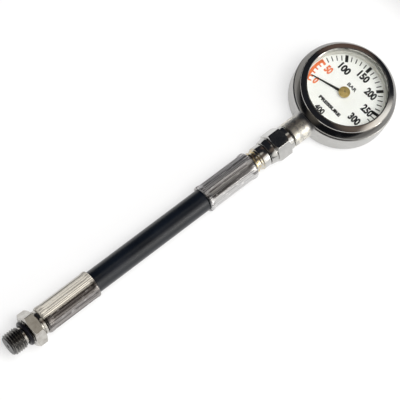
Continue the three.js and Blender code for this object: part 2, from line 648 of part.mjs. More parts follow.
add('pointer_blade', pointerBlade(), blackPaint);
add('pointer_hub', turnedZ([
  [ARBOR_RADIUS + FIT, hubBottom],
  [HUB_RADIUS, hubBottom],
  [HUB_RADIUS, hubTop - 0.35],
  [HUB_RADIUS - 0.35, hubTop],
  [ARBOR_RADIUS + FIT, hubTop],
], STEM_FACETS), brass);

// ---- swivel: nut, air spool and its seals ----

function swivelNut() {
  const front = turnedX([
    [0, HEX_FRONT - 1],
    [BOSS_RADIUS - 0.1, HEX_FRONT - 1],
    [BOSS_RADIUS + 0.1, NUT_FRONT - 0.8],
    [BOSS_RADIUS - 0.3, NUT_FRONT],
    [NUT_SHANK_RADIUS, NUT_FRONT],
    [NUT_SHANK_RADIUS, SPOOL_SEAT - FIT],
    [0, SPOOL_SEAT - FIT],
  ], STEM_FACETS);
  const rear = turnedX([
    [0, NUT_REAR],
    [NUT_AF / 2 - 0.7, NUT_REAR],
    [NUT_AF / 2 - 0.05, HEX_REAR - 0.7],
    [NUT_AF / 2 - 0.05, HEX_REAR + 1],
    [0, HEX_REAR + 1],
  ], STEM_FACETS);
  const hex = hexagon(NUT_AF, HEX_REAR, HEX_FRONT, NUT_TURN, true, true);
  const bore = turnedX([
    [0, NUT_REAR - 1],
    [NOSE_RADIUS + FIT, NUT_REAR - 1],
    [NOSE_RADIUS + FIT, NOSE_TIP + FIT],
    [SPOOL_RADIUS + 0.6, NOSE_TIP + FIT],
    [SPOOL_RADIUS + 0.6, 0],
    [0, 0],
  ], STEM_FACETS);
  return cut(join(hex, front, rear), bore);
}

add('swivel_nut', swivelNut(), chrome);

const spoolFront = SPOOL_SEAT + 3.4;
const spoolRear = NOSE_TIP - SPOOL_REACH;
const sealSpots = [spoolFront - 1.6, spoolRear + 1.8];
const grooveHalf = SPOOL_SEAL_CORD + 0.3;

function airSpool() {
  const grooves = [...sealSpots].sort((a, b) => a - b).flatMap((spot) => [
    [SPOOL_RADIUS, spot - grooveHalf],
    [0.95, spot - grooveHalf],
    [0.95, spot + grooveHalf],
    [SPOOL_RADIUS, spot + grooveHalf],
  ]);
  return turnedX([[0.45, spoolRear], [SPOOL_RADIUS, spoolRear], ...grooves, [SPOOL_RADIUS, spoolFront],
    [0.45, spoolFront]], 16);
}

add('air_spool', airSpool(), brass);
const spoolSeal = (spot) => turnedX(ring(SPOOL_SEAL_CORD, SPOOL_RADIUS - 0.35, spot, 6), 16);
add('spool_oring_gauge', spoolSeal(sealSpots[0]), rubber);
add('spool_oring_hose', spoolSeal(sealSpots[1]), rubber);

// ---- hose end at the gauge ----

// A fitting's tail inside the hose, with three low barbs, from its root to its tip.
function hoseTail(root, direction) {
  const barbs = [0.25, 0.5, 0.75].flatMap((share) => {
    const place = root + direction * TAIL_LENGTH * share;
    return [[TAIL_RADIUS, place - direction * 1.2], [TAIL_RADIUS + TAIL_BARB, place]];
  });
  return [[TAIL_RADIUS, root], ...barbs, [TAIL_RADIUS, root + direction * TAIL_LENGTH]];
}

const wallHole = 3.9;
const tailRoot = FERRULE_FRONT - FERRULE_WALL - FIT;

add('hose_nipple', turnedX([
  [BORE_RADIUS, tailRoot - TAIL_LENGTH],
  ...hoseTail(tailRoot, -1).reverse(),
  [wallHole - FIT, tailRoot],
  [wallHole - FIT, FERRULE_FRONT + FIT],
  [NECK_RADIUS, FERRULE_FRONT + FIT],
  [NECK_RADIUS, NECK_FRONT],
  [SHOULDER_RADIUS - 0.3, NECK_FRONT],
  [SHOULDER_RADIUS, NECK_FRONT + 0.4],
  [SHOULDER_RADIUS, SHOULDER_FRONT - 0.4],
  [SHOULDER_RADIUS - 0.3, SHOULDER_FRONT],
  [NOSE_RADIUS, SHOULDER_FRONT],
  [NOSE_RADIUS, NOSE_TIP],
  [SPOOL_BORE, NOSE_TIP],
  [SPOOL_BORE, spoolRear - FIT],
  [BORE_RADIUS, spoolRear - FIT],
], STEM_FACETS), chrome);

// A sleeve open at its mouth, with a rounded shoulder and a wall at its other end.
function ferrule(mouth, end) {
  const out = Math.sign(end - mouth);
  const rounding = 1;
  const shoulder = [[0, 1], [0.5, 0.87], [0.87, 0.5], [1, 0]].map(([rise, run]) => [
    FERRULE_RADIUS - rounding + rounding * run,
    end - out * rounding + out * rounding * rise,
  ]).reverse();
  return turnedX([
    [HOSE_RADIUS + FIT, mouth],
    [FERRULE_RADIUS - 0.4, mouth],
    [FERRULE_RADIUS, mouth + out * 0.4],
    ...shoulder.reverse(),
    [wallHole, end],
    [wallHole, end - out * FERRULE_WALL],
    [HOSE_RADIUS + FIT, end - out * FERRULE_WALL],
  ], STEM_FACETS);
}

add('ferrule_gauge_end', ferrule(HOSE_MOUTH, FERRULE_FRONT), satinChrome);

// ---- hose ----

function hose() {
  const section = new THREE.Shape();
  const bore = new THREE.Path();
  for (let i = 0; i <= HOSE_SIDES; i += 1) {
    const angle = 2 * Math.PI * i / HOSE_SIDES;
    section[i ? 'lineTo' : 'moveTo'](HOSE_RADIUS * Math.cos(angle), HOSE_RADIUS * Math.sin(angle));
    bore[i ? 'lineTo' : 'moveTo'](HOSE_BORE * Math.cos(angle), HOSE_BORE * Math.sin(angle));
  }
  section.holes.push(bore);
  const route = new THREE.CatmullRomCurve3(HOSE_ROUTE_X.map((x) => new THREE.Vector3(x, 0, AXIS_HEIGHT)));
  return new THREE.ExtrudeGeometry(section, { steps: HOSE_STEPS, extrudePath: route, bevelEnabled: false });
}

add('hose', hose(), rubber);

// ---- hose end at the port ----

add('ferrule_port_end', ferrule(PORT_MOUTH, PORT_FERRULE_END), satinChrome);

function portFitting() {
  const root = PORT_FERRULE_END + FERRULE_WALL + FIT;
  const thread = Array.from({ length: THREAD_TURNS }, (_, i) => {
    const start = PORT_TIP + i * THREAD_PITCH;
    const crest = i ? THREAD_RADIUS : THREAD_RADIUS - 0.45;
    return [[THREAD_RADIUS - THREAD_DEPTH, start], [crest, start + THREAD_PITCH / 2]];
  }).flat();
  const body = turnedX([
    [ORIFICE_RADIUS, PORT_TIP],
    ...thread,
    [SEAL_GROOVE_RADIUS, THREAD_ROOT],
    [SEAL_GROOVE_RADIUS, PORT_HEX_REAR + 0.5],
    [PORT_NECK_RADIUS, PORT_HEX_REAR + 0.5],
    [PORT_NECK_RADIUS, PORT_FERRULE_END - FIT],
    [wallHole - FIT, PORT_FERRULE_END - FIT],
    [wallHole - FIT, root],
    ...hoseTail(root, 1),
    [BORE_RADIUS, root + TAIL_LENGTH],
    [BORE_RADIUS, PORT_TIP + 5],
    [ORIFICE_RADIUS, PORT_TIP + 4],
  ], STEM_FACETS);
  const sealLand = SEAL_MIDDLE + SEAL_CORD + FIT;
  const landLevel = PORT_HEX_REAR + SEAL_RECESS;
  const ringAround = turnedX([
    [PORT_NECK_RADIUS - 1, landLevel],
    [sealLand, landLevel],
    [sealLand, PORT_HEX_REAR],
    [2 * PORT_HEX_AF, PORT_HEX_REAR],
    [2 * PORT_HEX_AF, PORT_HEX_FRONT],
    [PORT_NECK_RADIUS - 1, PORT_HEX_FRONT],
  ], STEM_FACETS);
  const hex = common(hexagon(PORT_HEX_AF, PORT_HEX_REAR, PORT_HEX_FRONT, 0, true, true), ringAround);
  const web = turnedX(sleeve(SEAL_GROOVE_RADIUS - 0.5, PORT_NECK_RADIUS, landLevel, PORT_HEX_REAR + 1), STEM_FACETS);
  return join(body, hex, web);
}

add('port_fitting', portFitting(), chrome);
add('port_oring', turnedX(ring(SEAL_CORD, SEAL_MIDDLE, PORT_HEX_REAR - 0.3 - SEAL_CORD, 8), STEM_FACETS), rubber);

export default gauge;
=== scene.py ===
import math

import bmesh
import bpy
from mathutils import Matrix, Vector


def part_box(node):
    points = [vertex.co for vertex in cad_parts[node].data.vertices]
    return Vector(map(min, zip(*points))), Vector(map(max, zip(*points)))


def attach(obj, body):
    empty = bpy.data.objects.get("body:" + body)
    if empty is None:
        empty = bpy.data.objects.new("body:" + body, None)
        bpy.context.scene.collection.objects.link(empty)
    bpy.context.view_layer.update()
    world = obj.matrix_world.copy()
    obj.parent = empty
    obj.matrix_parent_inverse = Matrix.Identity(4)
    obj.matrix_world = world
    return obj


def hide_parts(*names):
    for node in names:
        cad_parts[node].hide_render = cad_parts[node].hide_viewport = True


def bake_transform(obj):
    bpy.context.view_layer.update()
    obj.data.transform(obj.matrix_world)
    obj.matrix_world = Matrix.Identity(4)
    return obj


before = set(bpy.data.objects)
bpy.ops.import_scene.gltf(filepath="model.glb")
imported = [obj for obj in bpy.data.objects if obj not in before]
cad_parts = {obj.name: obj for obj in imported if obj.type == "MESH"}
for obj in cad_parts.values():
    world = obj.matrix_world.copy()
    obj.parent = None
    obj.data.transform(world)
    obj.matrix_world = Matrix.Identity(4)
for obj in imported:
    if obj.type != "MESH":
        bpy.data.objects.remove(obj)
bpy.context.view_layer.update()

# ---- camera and studio ----
# The gauge lies on its back on a pale table, with the hose running away to the lower left.
# A long lens looks down on it almost square, rolled so that the hose climbs to the right.

mm = 0.001
camera_place = Vector((-371.5, -116.5, 799.4)) * mm
camera_aim = Vector((-91.8, 0.8, 8.0)) * mm
camera_roll = math.radians(28.89)
camera_data = bpy.data.cameras.new("camera")
camera_data.lens = 161.2
camera_data.sensor_width = 36
camera_data.clip_start = 0.01
camera = bpy.data.objects.new("camera", camera_data)
facing = (camera_aim - camera_place).to_track_quat("-Z", "Y").to_matrix().to_4x4()
camera.matrix_world = Matrix.Translation(camera_place) @ facing @ Matrix.Rotation(camera_roll, 4, "Z")
bpy.context.collection.objects.link(camera)
bpy.context.scene.camera = camera
bpy.context.scene.view_settings.view_transform = "Standard"


class Wire:
    """A socket of a node tree: sums and products of wires and numbers add Math nodes."""

    def __init__(self, tree, socket):
        self.tree = tree
        self.socket = socket

    def math(self, operation, first, second=0.0):
        node = self.tree.nodes.new("ShaderNodeMath")
        node.operation = operation
        for slot, value in zip(node.inputs, (first, second)):
            plug(self.tree, slot, value)
        return Wire(self.tree, node.outputs[0])

    def __add__(self, other):
        return self.math("ADD", self, other)

    def __radd__(self, other):
        return self.math("ADD", other, self)

    def __sub__(self, other):
        return self.math("SUBTRACT", self, other)

    def __rsub__(self, other):
        return self.math("SUBTRACT", other, self)

    def __mul__(self, other):
        return self.math("MULTIPLY", self, other)

    def __rmul__(self, other):
        return self.math("MULTIPLY", other, self)

    def __truediv__(self, other):
        return self.math("DIVIDE", self, other)

    def __pow__(self, other):
        return self.math("POWER", self, other)


def plug(tree, slot, value):
    if isinstance(value, Wire):
        tree.links.new(value.socket, slot)
    else:
        slot.default_value = value


def add_node(tree, kind, settings=None, sockets=None, output=0):
    """One node: its settings are set first, then the values or wires of its sockets."""
    node = tree.nodes.new(kind)
    for key, value in (settings or {}).items():
        if key == "stops":
            ramp = node.color_ramp
            while len(ramp.elements) < len(value):
                ramp.elements.new(0.5)
            for element, (place, colour) in zip(ramp.elements, value):
                element.position = place
                element.color = colour
        else:
            setattr(node, key, value)
    for key, value in (sockets or {}).items():
        plug(tree, node.inputs[key], value)
    return Wire(tree, node.outputs[output])


# The studio is dark all round except for a few soft panels, which the polished parts show
# as bright bands between black ones.
studio = bpy.data.worlds.new("dark_studio")
studio.use_nodes = True
bpy.context.scene.world = studio
looking = add_node(studio.node_tree, "ShaderNodeTexCoord", output=0)
panels = [
    ("window", (0.44, -0.80, 0.40), 38, 22, (1.45, 1.42, 1.36)),
    ("warm wall", (-0.93, 0.05, 0.36), 24, 6, (0.34, 0.31, 0.26)),
    ("ceiling", (0.16, -0.36, 0.92), 26, 6, (0.17, 0.13, 0.10)),
    ("top panel", (0.24, 0.13, 0.96), 12, 6, (0.66, 0.62, 0.55)),
    ("far wall", (0.73, 0.54, 0.42), 26, 4, (0.15, 0.095, 0.07)),
]
glow = add_node(studio.node_tree, "ShaderNodeCombineXYZ", None, {0: 0.022, 1: 0.024, 2: 0.030})
for panel, direction, edge, core, colour in panels:
    toward = add_node(studio.node_tree, "ShaderNodeVectorMath", {"operation": "DOT_PRODUCT", "label": panel},
                      {0: looking, 1: Vector(direction).normalized()}, output=1)
    share = add_node(studio.node_tree, "ShaderNodeMapRange", {"interpolation_type": "SMOOTHSTEP"}, {
        "Value": toward, "From Min": math.cos(math.radians(edge)), "From Max": math.cos(math.radians(core))})
    light = add_node(studio.node_tree, "ShaderNodeVectorMath", {"operation": "SCALE"},
                     {0: colour, "Scale": share})
    glow = add_node(studio.node_tree, "ShaderNodeVectorMath", {"operation": "ADD"}, {0: glow, 1: light})
studio_light = studio.node_tree.nodes["Background"]
plug(studio.node_tree, studio_light.inputs["Color"], glow)
studio_light.inputs["Strength"].default_value = 1.0


def softbox(name, direction, distance, width, height, power, colour, mirrored):
    """A rectangular lamp aimed at the hose; one that isn't mirrored only lights matt surfaces."""
    lamp = bpy.data.lights.new(name, "AREA")
    lamp.shape = "RECTANGLE"
    lamp.size = width
    lamp.size_y = height
    lamp.energy = power
    lamp.color = colour
    lamp_object = bpy.data.objects.new(name, lamp)
    lamp_object.visible_glossy = mirrored
    place = camera_aim + Vector(direction).normalized() * distance
    lamp_object.matrix_world = (Matrix.Translation(place)
                                @ (camera_aim - place).to_track_quat("-Z", "Y").to_matrix().to_4x4())
    bpy.context.collection.objects.link(lamp_object)


softbox("overhead_softbox", (0.1, -0.2, 1), 1.2, 1.0, 1.0, 16.5, (1, 1, 1), False)
softbox("window_softbox", (0.47, -0.78, 0.42), 1.1, 0.22, 0.30, 1.6, (1.0, 0.98, 0.94), True)

# The table is a wide pale sheet. A painted pool of light, a glow from the table itself that fades out away
# from the gauge, keeps it clean and white there.
table_half = 1.6
table_drop = -0.02 * mm
table_corners = [(-1, -1), (1, -1), (1, 1), (-1, 1)]
table_mesh = bpy.data.meshes.new("table")
table_spots = [(table_half * x, table_half * y, table_drop) for x, y in table_corners]
table_mesh.from_pydata(table_spots, [], [(0, 1, 2, 3)])
table = bpy.data.objects.new("table", table_mesh)
bpy.context.collection.objects.link(table)
table_finish = bpy.data.materials.new("table_white")
table_finish.use_nodes = True
table_shader = table_finish.node_tree.nodes["Principled BSDF"]
table_shader.inputs["Base Color"].default_value = (0.42, 0.42, 0.42, 1)
table_shader.inputs["Roughness"].default_value = 0.9
table_shader.inputs["Specular IOR Level"].default_value = 0.1
table_place = add_node(table_finish.node_tree, "ShaderNodeTexCoord", output=3)
table_reach = add_node(table_finish.node_tree, "ShaderNodeVectorMath", {"operation": "DISTANCE"},
                       {0: table_place, 1: (-0.105, -0.01, 0)}, output=1)
# Painted pool of light: the table glows under the gauge, and the glow fades out beyond it.
painted_pool_strength = add_node(table_finish.node_tree, "ShaderNodeMapRange", {"interpolation_type": "SMOOTHSTEP"}, {
    "Value": table_reach, "From Min": 0.152, "From Max": 0.195, "To Min": 0.56, "To Max": 0.04})
painted_pool_glow = add_node(table_finish.node_tree, "ShaderNodeCombineXYZ", None, {0: painted_pool_strength, 1: painted_pool_strength, 2: painted_pool_strength})
plug(table_finish.node_tree, table_shader.inputs["Emission Color"], painted_pool_glow)
table_shader.inputs["Emission Strength"].default_value = 1.0
table_mesh.materials.append(table_finish)

# ---- hose ----
# The high-pressure hose is one straight length of smooth black rubber, 11.3 mm thick.
# It is pushed into a crimped ferrule at each end.

gauge_ferrule_low, gauge_ferrule_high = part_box("ferrule_gauge_end")
port_ferrule_low, port_ferrule_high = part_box("ferrule_port_end")
stem_height = (gauge_ferrule_low.z + gauge_ferrule_high.z) / 2
hose_radius = 5.65 * mm
hose_bore = 2.6 * mm
hose_route_x = [-63, -72, -81, -90, -99, -108, -117, -124.6, -132, -141, -150, -159, -168, -177, -186.2]
hose_route = [Vector((x * mm, 0, stem_height)) for x in hose_route_x]
gauge_mouth = gauge_ferrule_low.x
port_mouth = port_ferrule_high.x


class Finish:
    """A material on one Principled shader, with helpers for its patterns."""

    def __init__(self, name, colour, metallic, roughness):
        self.material = bpy.data.materials.new(name)
        self.material.use_nodes = True
        self.tree = self.material.node_tree
        self.shader = self.tree.nodes["Principled BSDF"]
        self.material.diffuse_color = (*colour, 1)
        self.set("Base Color", (*colour, 1))
        self.set("Metallic", metallic)
        self.set("Roughness", roughness)
        self.place = add_node(self.tree, "ShaderNodeTexCoord", output=3)

    def set(self, slot, value):
        plug(self.tree, self.shader.inputs[slot], value)

    def node(self, kind, settings=None, sockets=None, output=0):
        return add_node(self.tree, kind, settings, sockets, output)

    def along(self, axis):
        """The place along one axis, in metres."""
        return self.node("ShaderNodeSeparateXYZ", None, {0: self.place}, output="XYZ".index(axis))

    def noise(self, stretch, detail=3.0, rough=0.55, centre=(0, 0, 0)):
        """Noise from 0 to 1 with so many grains per metre along each axis."""
        spot = self.node("ShaderNodeMapping", {"vector_type": "POINT"},
                         {"Vector": self.place, "Location": centre, "Scale": stretch})
        return self.node("ShaderNodeTexNoise", None,
                         {"Vector": spot, "Scale": 1.0, "Detail": detail, "Roughness": rough})

    def turned_lines(self, per_metre):
        """The rings that a lathe leaves round the upright axis."""
        radius = (self.along("X") * self.along("X") + self.along("Y") * self.along("Y")) ** 0.5
        spot = self.node("ShaderNodeCombineXYZ", None, {0: radius * per_metre})
        return self.node("ShaderNodeTexNoise", None, {"Vector": spot, "Scale": 1.0, "Detail": 2.0})

    def ramp(self, value, *stops):
        """A number or a colour that changes with a value, through the stops given."""
        full = [(place, (level, level, level, 1) if isinstance(level, (int, float)) else (*level, 1))
                for place, level in stops]
        return self.node("ShaderNodeValToRGB", {"stops": full}, {"Fac": value})

    def tint(self, first, second):
        """Two colours multiplied."""
        return self.node("ShaderNodeVectorMath", {"operation": "MULTIPLY"}, {0: first, 1: second})

    def blend(self, factor, first, second):
        return self.node("ShaderNodeMix", {"data_type": "RGBA"}, {0: factor, 6: first, 7: second}, output=2)

    def bump(self, height, strength, depth):
        self.set("Normal", self.node("ShaderNodeBump", None, {
            "Height": height, "Strength": strength, "Distance": depth}))


def piece_of(name, vertices, faces, crease=32):
    """A finished object from points in metres: faces outward, smooth between its creases."""
    mesh = bpy.data.meshes.new(name)
    mesh.from_pydata([tuple(v) for v in vertices], [], faces)
    shell = bmesh.new()
    shell.from_mesh(mesh)
    bmesh.ops.remove_doubles(shell, verts=shell.verts, dist=1e-7)
    bmesh.ops.delete(shell, geom=[edge for edge in shell.edges if edge.is_wire], context="EDGES")
    bmesh.ops.recalc_face_normals(shell, faces=shell.faces)
    shell.to_mesh(mesh)
    shell.free()
    smooth(mesh, crease)
    made = bpy.data.objects.new(name, mesh)
    bpy.context.collection.objects.link(made)
    return made


def smooth(mesh, crease):
    mesh.polygons.foreach_set("use_smooth", [True] * len(mesh.polygons))
    mesh.set_sharp_from_angle(angle=math.radians(crease))
    mesh.update()


def on_stem(radius, along, angle):
    """A point round the stem's axis: the angle runs from straight up towards +Y."""
    return Vector((along, radius * math.sin(angle), stem_height + radius * math.cos(angle)))


def hooped(rings, sides, closed=True):
    """Faces that join each ring of points to the next one, and the last ring to the first."""
    faces = []
    for k in range(rings if closed else rings - 1):
        here, after = k * sides, (k + 1) % rings * sides
        for i in range(sides):
            beside = (i + 1) % sides
            faces.append((here + i, here + beside, after + beside, after + i))
    return faces


def sleeve(name, rings, sides, crease=32):
    """A closed wall round the stem from rings of (place along it, radius at an angle)."""
    turns = [2 * math.pi * i / sides for i in range(sides)]
    vertices = [on_stem(radius(turn), along, turn) for along, radius in rings for turn in turns]
    return piece_of(name, vertices, hooped(len(rings), sides), crease)


def rubber_hose():
    """The hose's wall: out along its skin and back along its bore."""
    skin = [(stop.x, lambda turn: hose_radius) for stop in hose_route]
    lining = [(stop.x, lambda turn: hose_bore) for stop in hose_route[::-1]]
    return sleeve("rubber_hose", skin + lining, 64)


def hose_rubber():
    """Extruded rubber: a faint bloom, tiny pits and long draw marks."""
    skin = Finish("hose_rubber", (0.004, 0.006, 0.010), 0, 0.3)
    bloom = skin.noise((60, 180, 180), 4)
    marks = skin.noise((25, 2600, 2600), 2)
    pits = skin.noise((2400, 2400, 2400), 2)
    skin.set("Base Color", skin.ramp(bloom, (0.3, (0.002, 0.0035, 0.006)), (0.75, (0.005, 0.008, 0.014))))
    skin.set("Roughness", 0.22 + 0.12 * bloom + 0.06 * marks)
    skin.bump(marks * 0.5 + pits * 0.5, 0.25, 0.03 * mm)
    return skin.material


hose = rubber_hose()
hose.data.materials.append(hose_rubber())

# ---- case ----
# A forged brass cup 52 mm across with a stem boss, in satin nickel-chrome plate. The boss grows
# out of the side in a soft fillet, and the bezel screws on to the spigot round the window.

case_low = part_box("case")[0]
plug_low, plug_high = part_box("relief_plug")
plug_place = ((plug_low.x + plug_high.x) / 2, (plug_low.y + plug_high.y) / 2)
case_radius = 26.0
parting = 13.0
boss_end = case_low.x / mm
axis = stem_height / mm


def rounded(corners, steps=4):
    """A profile of (radius, height, fillet) corners, each turned into an arc of its fillet."""
    points = []
    count = len(corners)
    for i, (radius, height, fillet) in enumerate(corners):
        here = Vector((radius, height))
        if not fillet:
            points.append(here)
            continue
        before = Vector(corners[i - 1][:2]) - here
        after = Vector(corners[(i + 1) % count][:2]) - here
        half = before.angle(after) / 2
        run = min(fillet / math.tan(half), 0.49 * before.length, 0.49 * after.length)
        arc_radius = run * math.tan(half)
        before.normalize()
        after.normalize()
        centre = here + (before + after).normalized() * (arc_radius / math.sin(half))
        first = here + before * run - centre
        last = here + after * run - centre
        sweep = first.angle_signed(last)
        points += [centre + Matrix.Rotation(-sweep * k / steps, 2) @ first for k in range(steps + 1)]
    return points


def turned(name, corners, segments, about, crease=32, steps=4):
    """A closed profile in millimetres turned about the stem or about the upright at a place."""
    profile = [point * mm for point in rounded(corners, steps)]
    vertices = []
    for i in range(segments):
        angle = 2 * math.pi * i / segments
        for radius, height in profile:
            if about == "stem":
                vertices.append(on_stem(radius, height, angle))
            else:
                x, y = about
                vertices.append(Vector((x + radius * math.cos(angle), y + radius * math.sin(angle), height)))
    return piece_of(name, vertices, hooped(segments, len(profile)), crease)


def rod(name, radius, low, high, about):
    """A plain round bar, mostly to bore with."""
    return turned(name, [(0, low, 0), (radius, low, 0), (radius, high, 0), (0, high, 0)], 48, about)


def fitted(base, operation, tool, crease=32):
    """The base joined with, cut by or kept inside a tool, which is used up."""
    change = base.modifiers.new(operation, "BOOLEAN")
    change.operation = operation
    change.object = tool
    change.solver = "EXACT"
    settled = base.evaluated_get(bpy.context.evaluated_depsgraph_get())
    mesh = bpy.data.meshes.new_from_object(settled)
    base.modifiers.clear()
    base.data = mesh
    smooth(mesh, crease)
    bpy.data.objects.remove(tool)
    return base


def boss_blank():
    """The boss as rings along the stem that widen into a fillet against the round case."""
    boss_radius = 6.4
    fillet = 4.0
    end_round = 0.6
    reach_in = -22.6
    centre_y = boss_radius + fillet
    meeting = case_radius - 0.1
    centre_x = -math.sqrt((meeting + fillet) ** 2 - centre_y ** 2)
    touch_x = centre_x * meeting / (meeting + fillet)
    rings = [(boss_end, boss_radius - end_round, boss_radius - end_round)]
    for k in range(1, 6):
        turn = math.pi / 2 * k / 5
        inset = end_round * (1 - math.sin(turn))
        rings.append((boss_end + end_round * (1 - math.cos(turn)), boss_radius - inset, boss_radius - inset))
    flare_steps = 14
    for k in range(flare_steps + 1):
        x = centre_x + (touch_x - centre_x) * k / flare_steps
        wide = centre_y - math.sqrt(fillet ** 2 - (x - centre_x) ** 2)
        tall = boss_radius + (axis - 0.25 - boss_radius) * (k / flare_steps) ** 2
        rings.append((x, wide, min(wide, tall)))
    rings.append((reach_in, rings[-1][1], rings[-1][2]))
    sides = 96
    vertices = []
    for x, wide, tall in rings:
        for i in range(sides):
            angle = 2 * math.pi * i / sides
            vertices.append(Vector((x, wide * math.sin(angle), axis + tall * math.cos(angle))) * mm)
    faces = [tuple(range(sides)), tuple(range((len(rings) - 1) * sides, len(rings) * sides))]
    return piece_of("boss_blank", vertices, faces + hooped(len(rings), sides, closed=False))


def case_shell():
    """The cup with its boss joined on, bored for the stem's parts and the relief plug."""
    spigot = 24.0
    spigot_top = 14.7
    window = 21.9
    shelf = 9.9
    inner = 21.2
    floor = 2.5
    cup = turned("plated_case", [
        (0, 0, 0),
        (case_radius, 0, 2.6),
        (case_radius, parting, 0.7),
        (spigot, parting, 0.2),
        (spigot, spigot_top, 0.2),
        (window, spigot_top, 0.1),
        (window, shelf, 0),
        (inner, shelf, 0.1),
        (inner, floor, 0.5),
        (0, floor, 0),
    ], 192, (0, 0), steps=8)
    boss = boss_blank()
    bezel_room = turned("bezel_room", [
        (0, parting, 0),
        (25.6, parting, 0.3),
        (25.6, 30, 0),
        (0, 30, 0),
    ], 192, (0, 0))
    boss = fitted(boss, "DIFFERENCE", bezel_room)
    cup = fitted(cup, "UNION", boss)
    socket = turned("socket", [
        (0, boss_end - 1, 0),
        (4.9, boss_end - 1, 0),
        (4.9, -30.4, 0),
        (2.3, -30.4, 0),
        (2.3, -26.8, 0),
        (1.8, -26, 0),
        (1.8, -19.2, 0),
        (0, -19.2, 0),
    ], 48, "stem")
    cup = fitted(cup, "DIFFERENCE", socket)
    relief = rod("relief", 3, -1, 3.5, plug_place)
    return fitted(cup, "DIFFERENCE", relief, crease=28)


def satin_plate():
    """Satin plate over a fine tumbled grain, cloudier and warmer about the boss."""
    warm = (0.84, 0.81, 0.72)
    pale = (0.52, 0.515, 0.50)
    satin = Finish("satin_plate", pale, 1, 0.3)
    cloud = satin.noise((160, 160, 160), 5, 0.65)
    patch = satin.noise((420, 420, 420), 4, 0.7)
    grain = satin.noise((3200, 3200, 3200), 2)
    on_boss = satin.ramp(0.0 - satin.along("X") / 0.04, (0.66, 0.0), (0.72, 1.0))
    mottle = satin.ramp(patch, (0.44, 0.0), (0.52, 1.0)) * on_boss
    body = satin.ramp(cloud, (0.3, (0.44, 0.435, 0.42)), (0.7, pale))
    satin.set("Base Color", satin.blend(mottle, body, (*warm, 1)))
    satin.set("Roughness", 0.29 + 0.10 * cloud + 0.10 * on_boss)
    satin.bump(grain * 0.5 + patch * on_boss * 2.2, 0.5, 0.07 * mm)
    return satin.material


case = case_shell()
case.data.materials.append(satin_plate())
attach(case, "gauge_head")
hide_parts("case")

# ---- bezel ----
# A turned ring that screws down over the lens: an outer slope, a fine step,
# and a shallow inner cone that ends in a rounded lip round the window.

bezel_low, bezel_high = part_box("bezel_ring")
bezel_foot = bezel_low.z / mm
bezel_top = bezel_high.z / mm
nickel = (0.55, 0.545, 0.53)

bezel = turned("turned_bezel", [
    (24.3, bezel_foot, 0.1),
    (25.5, bezel_foot, 0.25),
    (25.5, 14.5, 0.25),
    (23.5, 17.38, 0.3),
    (23.34, 17.4, 0.05),
    (23.26, 17.95, 0.2),
    (20.6, bezel_top, 0.5),
    (20.2, bezel_top - 0.3, 0.2),
    (20.2, 17.7, 0.1),
    (21.7, 17.7, 0.1),
    (21.7, 16.4, 0.1),
    (22.95, 16.4, 0.1),
    (22.95, 14.8, 0.1),
    (24.3, 14.8, 0.1),
], 256, (0, 0), crease=40, steps=6)


def bezel_plate():
    """Mirror plate with faint circular polishing lines and touch marks, and painted shade that darkens the
    outer slope.
    """
    mirror = Finish("bezel_plate", nickel, 1, 0.07)
    lines = mirror.turned_lines(9000)
    cloud = mirror.noise((110, 110, 110), 4, 0.6)
    height = mirror.along("Z") / (bezel_top * mm)
    # Painted shade: the outer slope's colour is darkened by height to stand in for the dark reflections it
    # shows.
    painted_slope_shade = mirror.ramp(height, (0.70, 0.50), (0.80, 0.36), (0.905, 0.36), (0.915, 1.0))
    tone = mirror.ramp(cloud, (0.3, (0.50, 0.47, 0.43)), (0.65, nickel))
    mirror.set("Base Color", mirror.tint(tone, painted_slope_shade))
    mirror.set("Roughness", 0.06 + 0.08 * mirror.ramp(cloud, (0.5, 0.0), (0.8, 1.0)) + 0.03 * lines)
    mirror.bump(lines, 0.12, 0.01 * mm)
    return mirror.material


bezel.data.materials.append(bezel_plate())
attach(bezel, "gauge_head")
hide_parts("bezel_ring")

# ---- lens ----
# A thick clear disc with a small bevel round its top. Its rim is ground, so from above it
# shows as a pale band behind the bezel's lip.

lens_low, lens_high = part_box("lens")
lens_floor = lens_low.z / mm
lens_top = lens_high.z / mm
lens_radius = 21.4

lens = turned("clear_disc", [
    (0, lens_floor, 0),
    (lens_radius, lens_floor, 0.1),
    (lens_radius, lens_top, 0.25),
    (0, lens_top, 0),
], 160, (0, 0))


def clear_lens():
    """Nearly invisible head on, and brighter towards a grazing view."""
    clear = bpy.data.materials.new("clear_lens")
    clear.use_nodes = True
    tree = clear.node_tree
    gloss = tree.nodes["Principled BSDF"]
    gloss.inputs["Base Color"].default_value = (1, 1, 1, 1)
    gloss.inputs["Metallic"].default_value = 1
    gloss.inputs["Roughness"].default_value = 0.02
    through = add_node(tree, "ShaderNodeBsdfTransparent", None, {"Color": (0.985, 0.99, 0.985, 1)})
    edge = add_node(tree, "ShaderNodeFresnel", None, {"IOR": 1.25})
    mirror = Wire(tree, gloss.outputs[0])
    mixed = add_node(tree, "ShaderNodeMixShader", None, {0: edge, 1: through, 2: mirror})
    plug(tree, tree.nodes["Material Output"].inputs["Surface"], mixed)
    return clear


def ground_rim():
    rim = Finish("ground_rim", (0.78, 0.78, 0.74), 0, 0.45)
    rings = rim.noise((300, 300, 6000), 2)
    rim.set("Base Color", rim.ramp(rings, (0.35, (0.60, 0.60, 0.56)), (0.65, (0.84, 0.84, 0.80))))
    rim.bump(rings, 0.3, 0.03 * mm)
    return rim.material


lens.data.materials.append(clear_lens())
lens.data.materials.append(ground_rim())
for polygon in lens.data.polygons:
    if abs(polygon.normal.z) < 0.3 and polygon.center.xy.length > 21.2 * mm:
        polygon.material_index = 1
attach(lens, "gauge_head")
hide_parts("lens")

# ---- spacer ring and dial ----
# A moulded grey ring with turned lines holds the printed dial down on the case's shelf.

